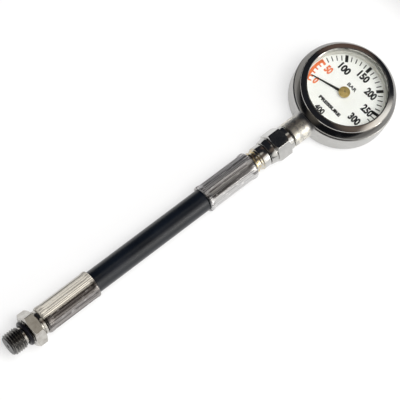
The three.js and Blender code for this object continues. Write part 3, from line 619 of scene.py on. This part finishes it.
ring_low, ring_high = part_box("spacer_ring")
dial_low, dial_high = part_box("dial_plate")
ring_floor = ring_low.z / mm
ring_top = ring_high.z / mm
dial_top = dial_high.z / mm
line_levels = [ring_floor + (ring_top - ring_floor) * share for share in (0.25, 0.5, 0.75)]
line_half = 0.12
line_depth = 0.18
ring_inner = 20.6

ring_profile = [(21.6, ring_top, 0.1), (21.6, ring_floor, 0.05), (ring_inner, ring_floor, 0.05)]
for level in line_levels:
    ring_profile += [(ring_inner, level - line_half, 0), (ring_inner + line_depth, level, 0),
                     (ring_inner, level + line_half, 0)]
ring_profile.append((ring_inner, ring_top, 0.1))
spacer = turned("moulded_spacer", ring_profile, 160, (0, 0), crease=25)


def moulded_plastic():
    plastic = Finish("ring_plastic", (0.84, 0.83, 0.77), 0, 0.4)
    cloud = plastic.noise((260, 260, 260), 3)
    grain = plastic.noise((2600, 2600, 2600), 2)
    plastic.set("Base Color", plastic.ramp(cloud, (0.3, (0.78, 0.77, 0.71)), (0.7, (0.90, 0.89, 0.84))))
    plastic.set("Roughness", 0.34 + 0.14 * cloud)
    plastic.bump(grain, 0.15, 0.02 * mm)
    return plastic.material


spacer.data.materials.append(moulded_plastic())
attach(spacer, "gauge_head")
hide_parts("spacer_ring")

dial = turned("enamelled_dial", [
    (1.2, dial_low.z / mm, 0.05),
    (21.6, dial_low.z / mm, 0.05),
    (21.6, dial_top, 0.05),
    (1.2, dial_top, 0.05),
], 128, (0, 0))


def dial_enamel():
    """White stove enamel with a barely visible orange peel and warm ageing."""
    enamel = Finish("dial_enamel", (0.90, 0.90, 0.87), 0, 0.5)
    ageing = enamel.noise((70, 70, 70), 4)
    peel = enamel.noise((1800, 1800, 1800), 2)
    enamel.set("Base Color", enamel.ramp(ageing, (0.3, (0.86, 0.86, 0.825)), (0.6, (0.93, 0.93, 0.91))))
    enamel.set("Roughness", 0.42 + 0.12 * peel)
    enamel.bump(peel, 0.08, 0.02 * mm)
    return enamel.material


dial.data.materials.append(dial_enamel())
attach(dial, "gauge_head")
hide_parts("dial_plate")

# ---- dial printing ----
# The scale runs clockwise from 0 to 400 bar, a block every 50 and a line every 10.
# The first 50 bar, a diver's reserve, is an orange band with teeth.

dial_turn = 4.85
zero_angle = -116.0
degrees_per_bar = 0.7725
ink_height = 0.06


def printing_ink(name, thin, full, roughness):
    """Pad-printed ink: even, with the faint mottle of a thin coat."""
    ink = Finish(name, full, 0, roughness)
    coat = ink.noise((900, 900, 900), 3)
    ink.set("Base Color", ink.ramp(coat, (0.30, full), (0.75, thin)))
    ink.set("Roughness", roughness + 0.1 * coat)
    return ink.material


black_ink = printing_ink("black_ink", (0.022, 0.022, 0.024), (0.006, 0.006, 0.007), 0.45)
orange_ink = printing_ink("orange_ink", (0.84, 0.24, 0.09), (0.76, 0.16, 0.05), 0.45)


def scale_marks_tree():
    """Geometry Nodes: a row of flat bars round the dial, from an angle on by even steps."""
    tree = bpy.data.node_groups.new("scale_marks", "GeometryNodeTree")
    door = tree.interface
    door.new_socket("Geometry", in_out="INPUT", socket_type="NodeSocketGeometry")
    door.new_socket("Count", in_out="INPUT", socket_type="NodeSocketInt")
    for size in ("First Angle", "Step Angle", "Inner Radius", "Outer Radius", "Width", "Height", "Level"):
        door.new_socket(size, in_out="INPUT", socket_type="NodeSocketFloat")
    door.new_socket("Ink", in_out="INPUT", socket_type="NodeSocketMaterial")
    door.new_socket("Geometry", in_out="OUTPUT", socket_type="NodeSocketGeometry")
    entry = tree.nodes.new("NodeGroupInput")
    size = {socket.name: Wire(tree, socket) for socket in entry.outputs if socket.name}
    angle = size["First Angle"] + size["Step Angle"] * add_node(tree, "GeometryNodeInputIndex")
    middle = (size["Inner Radius"] + size["Outer Radius"]) * 0.5
    place = add_node(tree, "ShaderNodeCombineXYZ", None, {
        0: middle * angle.math("COSINE", angle), 1: middle * angle.math("SINE", angle), 2: size["Level"]})
    points = add_node(tree, "GeometryNodePoints", None, {"Count": size["Count"], "Position": place})
    bar_size = add_node(tree, "ShaderNodeCombineXYZ", None, {
        0: size["Outer Radius"] - size["Inner Radius"], 1: size["Width"], 2: size["Height"]})
    bar = add_node(tree, "GeometryNodeMeshCube", None, {"Size": bar_size})
    turn = add_node(tree, "ShaderNodeCombineXYZ", None, {2: angle})
    row = add_node(tree, "GeometryNodeInstanceOnPoints", None, {
        "Points": points, "Instance": bar, "Rotation": turn})
    real = add_node(tree, "GeometryNodeRealizeInstances", None, {0: row})
    inked = add_node(tree, "GeometryNodeSetMaterial", None, {"Geometry": real, "Material": size["Ink"]})
    leave = tree.nodes.new("NodeGroupOutput")
    plug(tree, leave.inputs[0], inked)
    return tree


marks_tree = scale_marks_tree()


def scale_marks(name, count, first_bar, step_bar, inner, outer, width, ink):
    """One kind of mark as a plain mesh that lies on the dial."""
    row = bpy.data.objects.new(name, bpy.data.meshes.new(name))
    bpy.context.collection.objects.link(row)
    change = row.modifiers.new("marks", "NODES")
    change.node_group = marks_tree
    values = {
        "Count": count,
        "First Angle": math.radians(dial_turn - zero_angle - first_bar * degrees_per_bar),
        "Step Angle": -math.radians(step_bar * degrees_per_bar),
        "Inner Radius": inner * mm,
        "Outer Radius": outer * mm,
        "Width": width * mm,
        "Height": ink_height * mm,
        "Level": (dial_top + ink_height / 2) * mm,
        "Ink": ink,
    }
    for socket in marks_tree.interface.items_tree:
        if socket.in_out == "INPUT" and socket.name in values:
            change[socket.identifier] = values[socket.name]
    mesh = bpy.data.meshes.new_from_object(row.evaluated_get(bpy.context.evaluated_depsgraph_get()))
    row.modifiers.clear()
    row.data = mesh
    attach(row, "gauge_head")
    "pointer_black" if ink == black_ink else "dial_white"


scale_marks("scale_lines", 22, 60, 10, 17.2, 19.8, 0.5, black_ink)
scale_marks("scale_blocks", 4, 100, 50, 16.6, 20.3, 1.6, black_ink)
scale_marks("reserve_teeth", 5, 0, 10, 17.1, 18.8, 0.75, orange_ink)
scale_marks("reserve_block", 1, 50, 10, 16.9, 20.1, 1.3, orange_ink)


def reserve_band():
    """The orange band that joins the reserve's teeth, as a thin arc on the dial."""
    inner, outer, steps = 18.6 * mm, 20.1 * mm, 48
    bottom, top = dial_top * mm, (dial_top + ink_height) * mm
    vertices = []
    for i in range(steps + 1):
        bar = 50 * i / steps
        angle = math.radians(dial_turn - zero_angle - bar * degrees_per_bar)
        for radius, level in ((inner, bottom), (outer, bottom), (outer, top), (inner, top)):
            vertices.append((radius * math.cos(angle), radius * math.sin(angle), level))
    faces = hooped(steps + 1, 4, closed=False) + [(0, 1, 2, 3), tuple(4 * steps + k for k in range(4))]
    band = piece_of("reserve_band", vertices, faces)
    band.data.materials.append(orange_ink)
    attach(band, "gauge_head")


reserve_band()


def dial_word(name, text, right, up, height, width, weight, ink):
    """A word or number printed upright on the dial, its middle to the right of and above the centre."""
    type_curve = bpy.data.curves.new(name, "FONT")
    type_curve.body = text
    type_curve.offset = weight
    type_curve.extrude = 0.5
    type_curve.resolution_u = 4
    letters = bpy.data.objects.new(name, type_curve)
    bpy.context.collection.objects.link(letters)
    mesh = bpy.data.meshes.new_from_object(letters.evaluated_get(bpy.context.evaluated_depsgraph_get()))
    bpy.data.objects.remove(letters)
    low = Vector([min(v.co[k] for v in mesh.vertices) for k in range(3)])
    high = Vector([max(v.co[k] for v in mesh.vertices) for k in range(3)])
    centre = (low + high) / 2
    span = high - low
    turn = Matrix.Rotation(math.radians(dial_turn - 90), 4, "Z")
    fit = Matrix.Diagonal((width * mm / span.x, height * mm / span.y, ink_height * mm / span.z, 1))
    spot = turn @ Vector((right * mm, up * mm, 0)) + Vector((0, 0, (dial_top + ink_height / 2) * mm))
    mesh.transform(Matrix.Translation(spot) @ turn @ fit @ Matrix.Translation(-centre))
    shell = bmesh.new()
    shell.from_mesh(mesh)
    bmesh.ops.remove_doubles(shell, verts=shell.verts, dist=1e-6)
    shell.to_mesh(mesh)
    shell.free()
    printed = bpy.data.objects.new(name, mesh)
    bpy.context.collection.objects.link(printed)
    mesh.materials.clear()
    mesh.materials.append(ink)
    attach(printed, "gauge_head")
    "pointer_black" if ink == black_ink else "dial_white"


bold = 0.05
number_height = 4.35
number_width = 6.2
number_places = {100: (-8.5, 9.7), 150: (0.7, 13.9), 200: (9.3, 10.0), 250: (14.1, 2.3), 300: (12.9, -5.8)}
for bar, (right, up) in number_places.items():
    dial_word(f"number_{bar}", str(bar), right, up, number_height, number_width, bold, black_ink)
dial_word("number_50", "50", -13.5, 3.2, number_height, 3.6, bold, orange_ink)
dial_word("number_0", "0", -13.9, -5.7, number_height, 2.0, bold, orange_ink)
dial_word("number_400", "400", -2.2, -15.2, 3.2, 5.5, 0.045, black_ink)
dial_word("unit_word", "BAR", 0.7, 5.4, 1.9, 5.6, 0.03, black_ink)
dial_word("title_word", "PRESSURE", 0, -10.2, 1.9, 14.0, 0.07, black_ink)

# ---- pointer ----
# A black enamelled needle on a turned brass hub, pressed on to the end of the pinion's arbor.
# It stands near 11 bar at rest.

rest_bar = 11.3
pointer_angle = math.radians(dial_turn - zero_angle - rest_bar * degrees_per_bar)
blade_low, blade_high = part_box("pointer_blade")
hub_low, hub_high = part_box("pointer_hub")
arbor_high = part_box("pinion_arbor")[1]


def pointer_blade():
    """A long taper with a low ridge down its middle and a disc under the hub."""
    level, top = blade_low.z, blade_high.z
    ridge = top + 0.1 * mm
    length = 18.3
    stations = [(0.6, 0.70), (2.4, 0.66), (8.0, 0.46), (14.0, 0.27), (17.8, 0.15), (length, 0.05)]
    vertices = []
    for along, half in stations:
        for side, height in ((-half, level), (half, level), (half, top), (0, ridge), (-half, top)):
            vertices.append(Matrix.Rotation(pointer_angle, 3, "Z") @ Vector((along * mm, side * mm, height)))
    last = 5 * (len(stations) - 1)
    faces = hooped(len(stations), 5, closed=False) + [(4, 3, 2, 1, 0), tuple(last + i for i in range(5))]
    blade = piece_of("needle_blade", vertices, faces, crease=50)
    disc = turned("blade_disc", [(0.8, level / mm, 0), (2.4, level / mm, 0.08), (2.4, top / mm, 0.08),
                                 (0.8, top / mm, 0)], 64, (0, 0))
    return fitted(blade, "UNION", disc)


blade = pointer_blade()
blade.data.materials.append(printing_ink("needle_black", (0.012, 0.012, 0.013), (0.005, 0.005, 0.006), 0.32))
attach(blade, "pointer")
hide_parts("pointer_blade")

hub = turned("needle_hub", [
    (0.55, hub_low.z / mm, 0),
    (2.85, hub_low.z / mm, 0.15),
    (2.85, hub_high.z / mm - 0.1, 0.35),
    (1.15, hub_high.z / mm, 0.1),
    (1.05, hub_high.z / mm - 0.12, 0.05),
    (0.95, hub_high.z / mm + 0.02, 0.06),
    (0.55, hub_high.z / mm + 0.02, 0),
], 96, (0, 0))


def turned_brass(name, pale, dark, roughness):
    """Bare brass fresh from the lathe: circular tool lines and a little tarnish."""
    brass = Finish(name, pale, 0.6, roughness)
    lines = brass.turned_lines(14000)
    tarnish = brass.noise((500, 500, 500), 4)
    brass.set("Base Color", brass.ramp(tarnish, (0.3, dark), (0.65, pale)))
    brass.set("Roughness", roughness + 0.10 * lines)
    brass.bump(lines, 0.35, 0.03 * mm)
    return brass.material


hub_brass = turned_brass("hub_brass", (0.72, 0.53, 0.20), (0.50, 0.36, 0.12), 0.24)
hub.data.materials.append(hub_brass)
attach(hub, "pointer")
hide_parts("pointer_hub")

shaft_end = turned("shaft_end", [
    (0, hub_high.z / mm - 0.4, 0),
    (0.52, hub_high.z / mm - 0.4, 0),
    (0.52, arbor_high.z / mm + 0.02, 0.15),
    (0, arbor_high.z / mm + 0.1, 0),
], 48, (0, 0))
shaft_end.data.materials.append(turned_brass("shaft_brass", (0.85, 0.68, 0.34), (0.66, 0.50, 0.22), 0.18))
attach(shaft_end, "pointer")

# ---- swivel nut ----
# The hexagon nut that holds the stem in the hose: a short collar against the boss,
# a chamfered 14 mm hexagon and a long tapered collar behind it, all polished.

nut_low, nut_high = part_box("swivel_nut")
nut_front = -36.8
hex_front = -39.6
hex_rear = -47.7
nut_rear = nut_low.x / mm
nose_tip = -37.7


def hexagon_bar(name, across, rear, front, turn, edge):
    """A hexagon bar on the stem's axis, turned towards +Y, with softened edges and chamfered ends."""
    corner = across / 2 / math.cos(math.radians(30))
    outline = []
    for i in range(6):
        middle = math.radians(60 * i + 30 + turn)
        inset = corner - edge / math.cos(math.radians(30))
        for k in range(-2, 3):
            swing = middle + math.radians(15 * k)
            outline.append((inset * math.sin(middle) + edge * math.sin(swing),
                            inset * math.cos(middle) + edge * math.cos(swing)))
    vertices = [Vector((x * mm, y * mm, stem_height + z * mm)) for x in (rear, front) for y, z in outline]
    count = len(outline)
    faces = [tuple(range(count)), tuple(range(count, 2 * count))]
    faces += [(i, (i + 1) % count, count + (i + 1) % count, count + i) for i in range(count)]
    bar = piece_of(name, vertices, faces)
    rim = across / 2 - 0.15
    run = (corner - rim) * 0.62
    slope = (corner - rim) / run
    cones = turned("hexagon_cones", [
        (0, rear - 0.5, 0),
        (rim - 0.5 * slope, rear - 0.5, 0),
        (corner + 1, rear + run + 1 / slope, 0),
        (corner + 1, front - run - 1 / slope, 0),
        (rim - 0.5 * slope, front + 0.5, 0),
        (0, front + 0.5, 0),
    ], 128, "stem")
    return fitted(bar, "INTERSECT", cones)


def swivel_nut():
    """The hexagon with a collar at each end, bored for the nipple and its nose."""
    hexagon = hexagon_bar("hexagon_nut", 14, hex_rear, hex_front, 6, 0.35)
    front_collar = turned("front_collar", [
        (0, hex_front - 1, 0),
        (6.3, hex_front - 1, 0),
        (6.5, nut_front - 0.75, 0.3),
        (6.1, nut_front, 0.2),
        (4.6, nut_front, 0.1),
        (4.6, nut_high.x / mm, 0.2),
        (0, nut_high.x / mm, 0),
    ], 96, "stem")
    rear_collar = turned("rear_collar", [
        (0, nut_rear, 0),
        (6.3, nut_rear, 0.35),
        (6.95, hex_rear - 0.7, 0.6),
        (6.55, hex_rear - 0.25, 0.1),
        (6.55, hex_rear + 1, 0),
        (0, hex_rear + 1, 0),
    ], 96, "stem")
    bore = turned("nut_bore", [
        (0, nut_rear - 1, 0),
        (4.0, nut_rear - 1, 0),
        (4.0, nose_tip, 0),
        (2.55, nose_tip, 0),
        (2.55, -20, 0),
        (0, -20, 0),
    ], 48, "stem")
    nut = fitted(fitted(hexagon, "UNION", front_collar), "UNION", rear_collar)
    return fitted(nut, "DIFFERENCE", bore)


def bright_plate(name, tint, roughness, smudge):
    """Polished plate: clear reflections, broken by faint smudges and hairline scratches."""
    plate = Finish(name, tint, 1, roughness)
    cloud = plate.noise((90, 90, 90), 4, 0.6)
    grain = plate.noise((900, 900, 900), 3)
    scratch = plate.noise((420, 5200, 5200), 2, 0.6)
    dulled = tuple(channel * 0.80 for channel in tint)
    plate.set("Base Color", plate.ramp(cloud, (0.30, dulled), (0.55, tint), (0.80, tint)))
    plate.set("Roughness", roughness + smudge * plate.ramp(cloud, (0.45, 0.0), (0.75, 1.0))
              + 0.05 * plate.ramp(scratch, (0.60, 0.0), (0.70, 1.0)))
    plate.bump(grain * 0.6 + scratch * 0.4, 0.10, 0.02 * mm)
    return plate.material


nut = swivel_nut()
nut.data.materials.append(bright_plate("polished_plate", nickel, 0.09, 0.12))
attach(nut, "gauge_head")
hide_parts("swivel_nut")

# ---- hose nipple ----
# The hose's plated brass end: a round shoulder that the nut bears on, a neck worn back to
# the brass, and a tail that runs up inside the hose.

nipple_low, nipple_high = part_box("hose_nipple")
shoulder_front = -52.0
neck_front = -56.1
ferrule_front = gauge_ferrule_high.x / mm
tail_end = nipple_low.x / mm

nipple = turned("turned_nipple", [
    (1.2, tail_end, 0),
    (2.15, tail_end, 0.2),
    (2.15, -62.5, 0),
    (3.6, -62.5, 0),
    (3.6, ferrule_front + 0.3, 0),
    (5.45, ferrule_front + 0.3, 0.15),
    (5.45, -59.2, 0.15),
    (5.0, -58.9, 0.15),
    (5.0, -57.4, 0.15),
    (5.45, neck_front - 1.0, 0.2),
    (5.45, neck_front - 0.1, 0.05),
    (6.0, neck_front, 0.3),
    (6.0, shoulder_front, 0.45),
    (3.9, shoulder_front, 0.1),
    (3.9, nipple_high.x / mm, 0.1),
    (2.3, nipple_high.x / mm, 0.1),
    (2.3, -44.9, 0),
    (1.2, -44.9, 0),
], 96, "stem")


def worn_plate():
    """Bright plate that has worn through to brass on the neck."""
    worn = Finish("nipple_plate", nickel, 1, 0.14)
    patch = worn.noise((700, 700, 700), 4, 0.65)
    on_neck = worn.ramp((0.0 - worn.along("X")) / 0.1, (0.555, 0.0), (0.57, 1.0), (0.610, 1.0))
    brassy = worn.ramp(patch, (0.42, 0.0), (0.56, 1.0)) * on_neck
    worn.set("Base Color", worn.blend(brassy, (*nickel, 1), (0.62, 0.50, 0.27, 1)))
    worn.set("Roughness", 0.12 + 0.16 * brassy + 0.05 * patch)
    worn.bump(patch, 0.12, 0.02 * mm)
    return worn.material


nipple.data.materials.append(worn_plate())
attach(nipple, "hose_head")
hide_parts("hose_nipple")

# ---- crimped ferrules ----
# Each ferrule is a plated sleeve squeezed on to the hose by eight jaws, which leave eight
# long lands with a fine raised line between them.

land_count = 8


def crimped_ferrule(name, mouth, end, land_turn):
    """A sleeve whose outside is pressed in on each land, from near its mouth to near its shoulder."""
    out = 1 if end > mouth else -1
    length = abs(end - mouth)
    outer = 6.95
    squeeze = 0.36
    line = 0.06
    line_share = 0.035
    shoulder = 1.4
    press_start, press_rise, press_fall = 1.2, 1.6, 2.2
    stations = [(0.0, 5.75), (0.0, 6.45), (0.12, 6.8), (0.4, outer)]
    stations += [(0.4 + (length - 1.8) * (k + 1) / 40, outer) for k in range(40)]
    for k in range(1, 9):
        turn = math.pi / 2 * k / 8
        drop = shoulder * (1 - math.cos(turn))
        stations.append((length - shoulder + shoulder * math.sin(turn), outer - drop))
    stations += [(length, 3.9), (length - 1.6, 3.9), (length - 1.6, 5.95), (2.4, 5.95), (1.2, 5.72)]

    def pressed_radius(along, radius):
        rise = min(max((along - press_start) / press_rise, 0), 1)
        fall = min(max((length - press_fall - along) / press_fall, 0), 1)
        press = (3 - 2 * rise) * rise ** 2 * (3 - 2 * fall) * fall ** 2

        def at(angle):
            land = ((angle - land_turn) * land_count / (2 * math.pi)) % 1
            crown = 1 - (2 * land - 1) ** 2
            ridge = max(0.0, 1 - min(land, 1 - land) / line_share)
            shift = press * (line * ridge - squeeze * crown) if radius == outer else 0
            return (radius + shift) * mm
        return at

    rings = [((mouth + out * along) * mm, pressed_radius(along, radius)) for along, radius in stations]
    return sleeve(name, rings, 256, crease=45)


def drawn_plate(name, pale, dull, seed_shift, marks, painted_light_bands, lit_band_mattness):
    """Plate brushed lengthways by the jaws: long streaks, and bright nicks where it was gripped.

    Across the sleeve, from -Y to +Y, bands of painted light and shade stand in for the studio's reflections.
    The second-last argument gives their tones, and the last says how matt the bright upper band is made, so
    that the overhead lamp lights it.
    """
    drawn = Finish(name, pale, 1, 0.2)
    streak = drawn.noise((14, 1900, 1900), 3, 0.6, (seed_shift, 0, 0))
    broad = drawn.noise((10, 420, 420), 3, 0.6, (seed_shift, 0, 0))
    nick = drawn.noise((330, 1300, 1300), 3, 0.6, (seed_shift, 3, 1))
    nicks = drawn.ramp(nick, (0.60, 0.0), (0.66, 1.0)) * marks
    tone = drawn.ramp(streak * 0.6 + broad * 0.4, (0.44, dull), (0.52, pale), (0.7, pale))
    across = drawn.along("Y") / (14 * mm) + 0.5 + 0.10 * (streak - 0.5)
    # Painted light and shade: tones across the sleeve, lighter or darker where the studio's reflections
    # would fall.
    painted_band_tone = drawn.ramp(across, *zip((0.14, 0.41, 0.48, 0.84, 0.93), painted_light_bands))
    drawn.set("Base Color", drawn.blend(nicks, drawn.tint(tone, painted_band_tone), (0.92, 0.91, 0.90, 1)))
    # The bright painted band is made less metallic and rougher, so that the overhead lamp lights it.
    lit_band_matt_mask = drawn.ramp(across, (0.42, 0.0), (0.49, 1.0), (0.82, 1.0), (0.92, 0.0)) * lit_band_mattness
    drawn.set("Metallic", 1 - lit_band_matt_mask)
    drawn.set("Roughness", 0.20 + 0.20 * streak + 0.2 * nicks + 0.3 * lit_band_matt_mask)
    drawn.bump(streak * 0.75 + nick * 0.25, 1.0, 0.16 * mm)
    return drawn.material


gauge_ferrule = crimped_ferrule("gauge_end_sleeve", gauge_mouth / mm, ferrule_front, math.radians(12))
# The five colours are bands of painted light and shade across the sleeve, from -Y to +Y; the last number
# makes the bright band matt.
gauge_ferrule.data.materials.append(
    drawn_plate("gauge_ferrule_plate", (0.66, 0.64, 0.63), (0.12, 0.11, 0.115), 0, 0.8, [
        (0.90, 0.92, 0.93), (0.52, 0.53, 0.54), (1, 1, 0.98), (0.95, 0.97, 1), (1, 1, 1)], 0.25))
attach(gauge_ferrule, "hose_head")
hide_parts("ferrule_gauge_end")

port_ferrule_end = port_ferrule_low.x / mm
port_ferrule = crimped_ferrule("port_end_sleeve", port_mouth / mm, port_ferrule_end, math.radians(7))
# The five colours are bands of painted light and shade across the sleeve, from -Y to +Y; the last number
# makes the bright band matt.
port_ferrule.data.materials.append(
    drawn_plate("port_ferrule_plate", (0.94, 0.91, 0.84), (0.36, 0.34, 0.32), 2, 0.35, [
        (0.34, 0.33, 0.345), (0.15, 0.14, 0.14), (1, 0.97, 0.90), (1, 0.98, 0.93), (0.6, 0.59, 0.57)], 0.85))
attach(port_ferrule, "port_end")
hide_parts("ferrule_port_end")

# ---- port fitting ----
# The end that screws into a regulator's high-pressure port: a short hexagon, a relief
# for the O-ring, and a single-start thread, 7/16 inch across with 20 turns to the inch.

fitting_low, fitting_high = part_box("port_fitting")
port_tip = fitting_low.x / mm
port_hex_rear = -196.2
port_hex_front = -190.8
thread_root_end = port_hex_rear - 3.6


def threaded_core():
    """The fitting's round body as rings along the stem, with a helical ridge on the threaded length."""
    crest, root, pitch = 5.555, 4.9, 1.27
    step = pitch / 12

    def thread_radius(x):
        fade_in = min(max((x - port_tip) / (pitch * 0.9), 0), 1)
        fade_out = min(max((thread_root_end - x) / (pitch * 0.7), 0), 1)

        def radius(angle):
            phase = ((x - port_tip) / pitch - angle / (2 * math.pi)) % 1
            flank = min(max(abs(2 * phase - 1) * 1.35 - 0.12, 0), 1)
            height = (1 - flank) * min(fade_in, fade_out)
            base = root - 0.35 * (1 - fade_in)
            return (base + (crest - root) * height) * mm
        return radius

    count = round((thread_root_end - port_tip) / step)
    thread = [port_tip + step * k for k in range(count + 1)]
    plain = [
        (thread_root_end + 0.25, 4.2),
        (port_hex_rear + 0.6, 4.2),
        (port_hex_rear + 0.6, 6.0),
        (port_hex_front - 0.1, 6.0),
        (port_hex_front + 0.15, 5.9),
        (port_hex_front + 0.45, 5.7),
        (port_hex_front + 0.9, 5.7),
        (port_hex_front + 1.1, 6.2),
        (port_ferrule_end - 0.3, 6.2),
        (port_ferrule_end - 0.3, 3.6),
        (port_ferrule_end + 1.9, 3.6),
        (port_ferrule_end + 1.9, 2.15),
        (fitting_high.x / mm, 2.15),
        (fitting_high.x / mm, 1.2),
        (port_tip + 5, 1.2),
        (port_tip + 4.0, 0.3),
        (port_tip, 0.9),
    ]
    rings = [(x * mm, thread_radius(x)) for x in thread]
    rings += [(x * mm, lambda angle, radius=radius: radius * mm) for x, radius in plain]
    return sleeve("threaded_fitting", rings, 96, crease=40)


def port_hexagon():
    """The 5/8 inch hexagon, faced flat where the O-ring's relief begins, and bored for the core."""
    bar = hexagon_bar("port_hexagon", 15.88, port_hex_rear, port_hex_front, 0, 0.3)
    bore = rod("hexagon_bore", 5.2, port_hex_rear - 1, port_hex_front + 1, "stem")
    land = turned("seal_land", [
        (0, port_hex_rear - 1, 0),
        (6.6, port_hex_rear - 1, 0),
        (6.6, port_hex_rear + 0.25, 0.1),
        (0, port_hex_rear + 0.25, 0),
    ], 64, "stem")
    return fitted(fitted(bar, "DIFFERENCE", land), "DIFFERENCE", bore)


fitting = fitted(threaded_core(), "UNION", port_hexagon(), crease=35)


def fitting_finish():
    """Plate on the hexagon, darker along the thread and darkest in the thread's roots."""
    plate = Finish("port_fitting_plate", (0.70, 0.67, 0.62), 1, 0.18)
    cloud = plate.noise((330, 330, 330), 4, 0.6)
    grain = plate.noise((1500, 1500, 1500), 2)
    side, rise = plate.along("Y"), plate.along("Z") - stem_height
    radius = (side * side + rise * rise) ** 0.5
    on_thread = plate.ramp((0.0 - plate.along("X") - 0.19) / 0.02, (0.46, 0.0), (0.50, 1.0))
    in_root = 1 - plate.ramp((radius - 0.0048) / 0.0009, (0.05, 0.0), (0.85, 1.0))
    # The threaded length is darkened, most of all down in its roots.
    thread_darkening = on_thread * (0.55 + in_root * 0.45) * (0.65 + cloud * 0.5)
    plain_plate_tone = plate.ramp(cloud, (0.3, (0.38, 0.36, 0.33)), (0.6, (0.56, 0.545, 0.51)))
    plate.set("Base Color", plate.blend(thread_darkening, plain_plate_tone, (0.085, 0.085, 0.088, 1)))
    plate.set("Roughness", 0.17 + 0.10 * cloud + 0.16 * thread_darkening)
    plate.bump(grain * 0.6 + cloud * 0.4, 0.16, 0.03 * mm)
    return plate.material


fitting.data.materials.append(fitting_finish())
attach(fitting, "port_end")
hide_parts("port_fitting")

# ---- port O-ring ----
# A black nitrile ring that seals against the regulator's port, in the relief under the hexagon.


def ring_profile_round(middle, level, cord, steps=24):
    turns = [2 * math.pi * k / steps for k in range(steps)]
    return [(middle + cord * math.cos(turn), level + cord * math.sin(turn), 0) for turn in turns]


oring_low, oring_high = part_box("port_oring")
oring_cord = (oring_high.x - oring_low.x) / 2 / mm
port_oring = turned("fitting_oring", ring_profile_round(
    5.38, (oring_low.x + oring_high.x) / 2 / mm, oring_cord), 128, "stem")


def seal_rubber():
    """Moulded nitrile with a slight oily sheen."""
    nitrile = Finish("seal_rubber", (0.006, 0.006, 0.009), 0, 0.3)
    oil = nitrile.noise((500, 500, 500), 3)
    grain = nitrile.noise((2600, 2600, 2600), 2)
    nitrile.set("Base Color", nitrile.ramp(oil, (0.3, (0.004, 0.004, 0.006)), (0.7, (0.009, 0.009, 0.014))))
    nitrile.set("Roughness", 0.22 + 0.16 * oil)
    nitrile.set("Specular IOR Level", 0.3)
    nitrile.bump(grain, 0.15, 0.02 * mm)
    return nitrile.material


nitrile_rubber = seal_rubber()
port_oring.data.materials.append(nitrile_rubber)
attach(port_oring, "port_end")
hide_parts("port_oring")

# ---- relief plug ----
# A soft plug in the case's back that blows out if the pressure tube leaks.

relief_plug = turned("blow_out_plug", [
    (0, 0.75, 0),
    (0.9, 0.75, 0.15),
    (1.3, 0.3, 0.2),
    (2.85, 0.3, 0.3),
    (2.85, 2.6, 0.1),
    (4.0, 2.6, 0.2),
    (4.0, plug_high.z / mm, 0.2),
    (0, plug_high.z / mm, 0),
], 64, plug_place)
relief_plug.data.materials.append(nitrile_rubber)
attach(relief_plug, "gauge_head")
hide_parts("relief_plug")

# ---- movement ----
# The plates, gears and pressure tube under the dial keep their own solids: sawn brass,
# bright steel arbors and screws, and a bronze tube and hairspring.


def wrought(name, pale, dark, roughness):
    """Rolled or drawn stock: straight grain, edge tarnish and small scratches."""
    stock = Finish(name, pale, 1, roughness)
    grain = stock.noise((3000, 260, 3000), 3)
    tarnish = stock.noise((240, 240, 240), 4, 0.6)
    stock.set("Base Color", stock.ramp(tarnish, (0.32, dark), (0.62, pale)))
    stock.set("Roughness", roughness + 0.14 * grain)
    stock.bump(grain, 0.2, 0.03 * mm)
    return stock.material


movement_finishes = {
    wrought("sawn_brass", (0.74, 0.56, 0.24), (0.56, 0.40, 0.16), 0.26): [
        "socket_block", "lower_plate", "upper_plate", *[f"plate_pillar_{n}" for n in (1, 2, 3, 4)],
        "hairspring_collet", "sector_gear", "tube_tip", "air_spool"],
    wrought("spring_bronze", (0.66, 0.42, 0.22), (0.48, 0.29, 0.14), 0.3): ["bourdon_tube", "hairspring"],
    wrought("bright_steel", (0.62, 0.63, 0.65), (0.44, 0.45, 0.47), 0.22): [
        "inlet_restrictor", *[f"plate_screw_{n}" for n in (1, 2, 3, 4)], "base_screw_1", "base_screw_2",
        "hairspring_stud", "pinion_arbor", "sector_arbor", "link_tail_pin", "link", "tip_pin"],
    nitrile_rubber: ["lens_oring", "spool_oring_gauge", "spool_oring_hose"],
}
for finish, names in movement_finishes.items():
    for name in names:
        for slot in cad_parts[name].material_slots:
            slot.material = finish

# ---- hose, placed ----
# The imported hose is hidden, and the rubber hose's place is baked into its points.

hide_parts("hose")
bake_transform(hose)
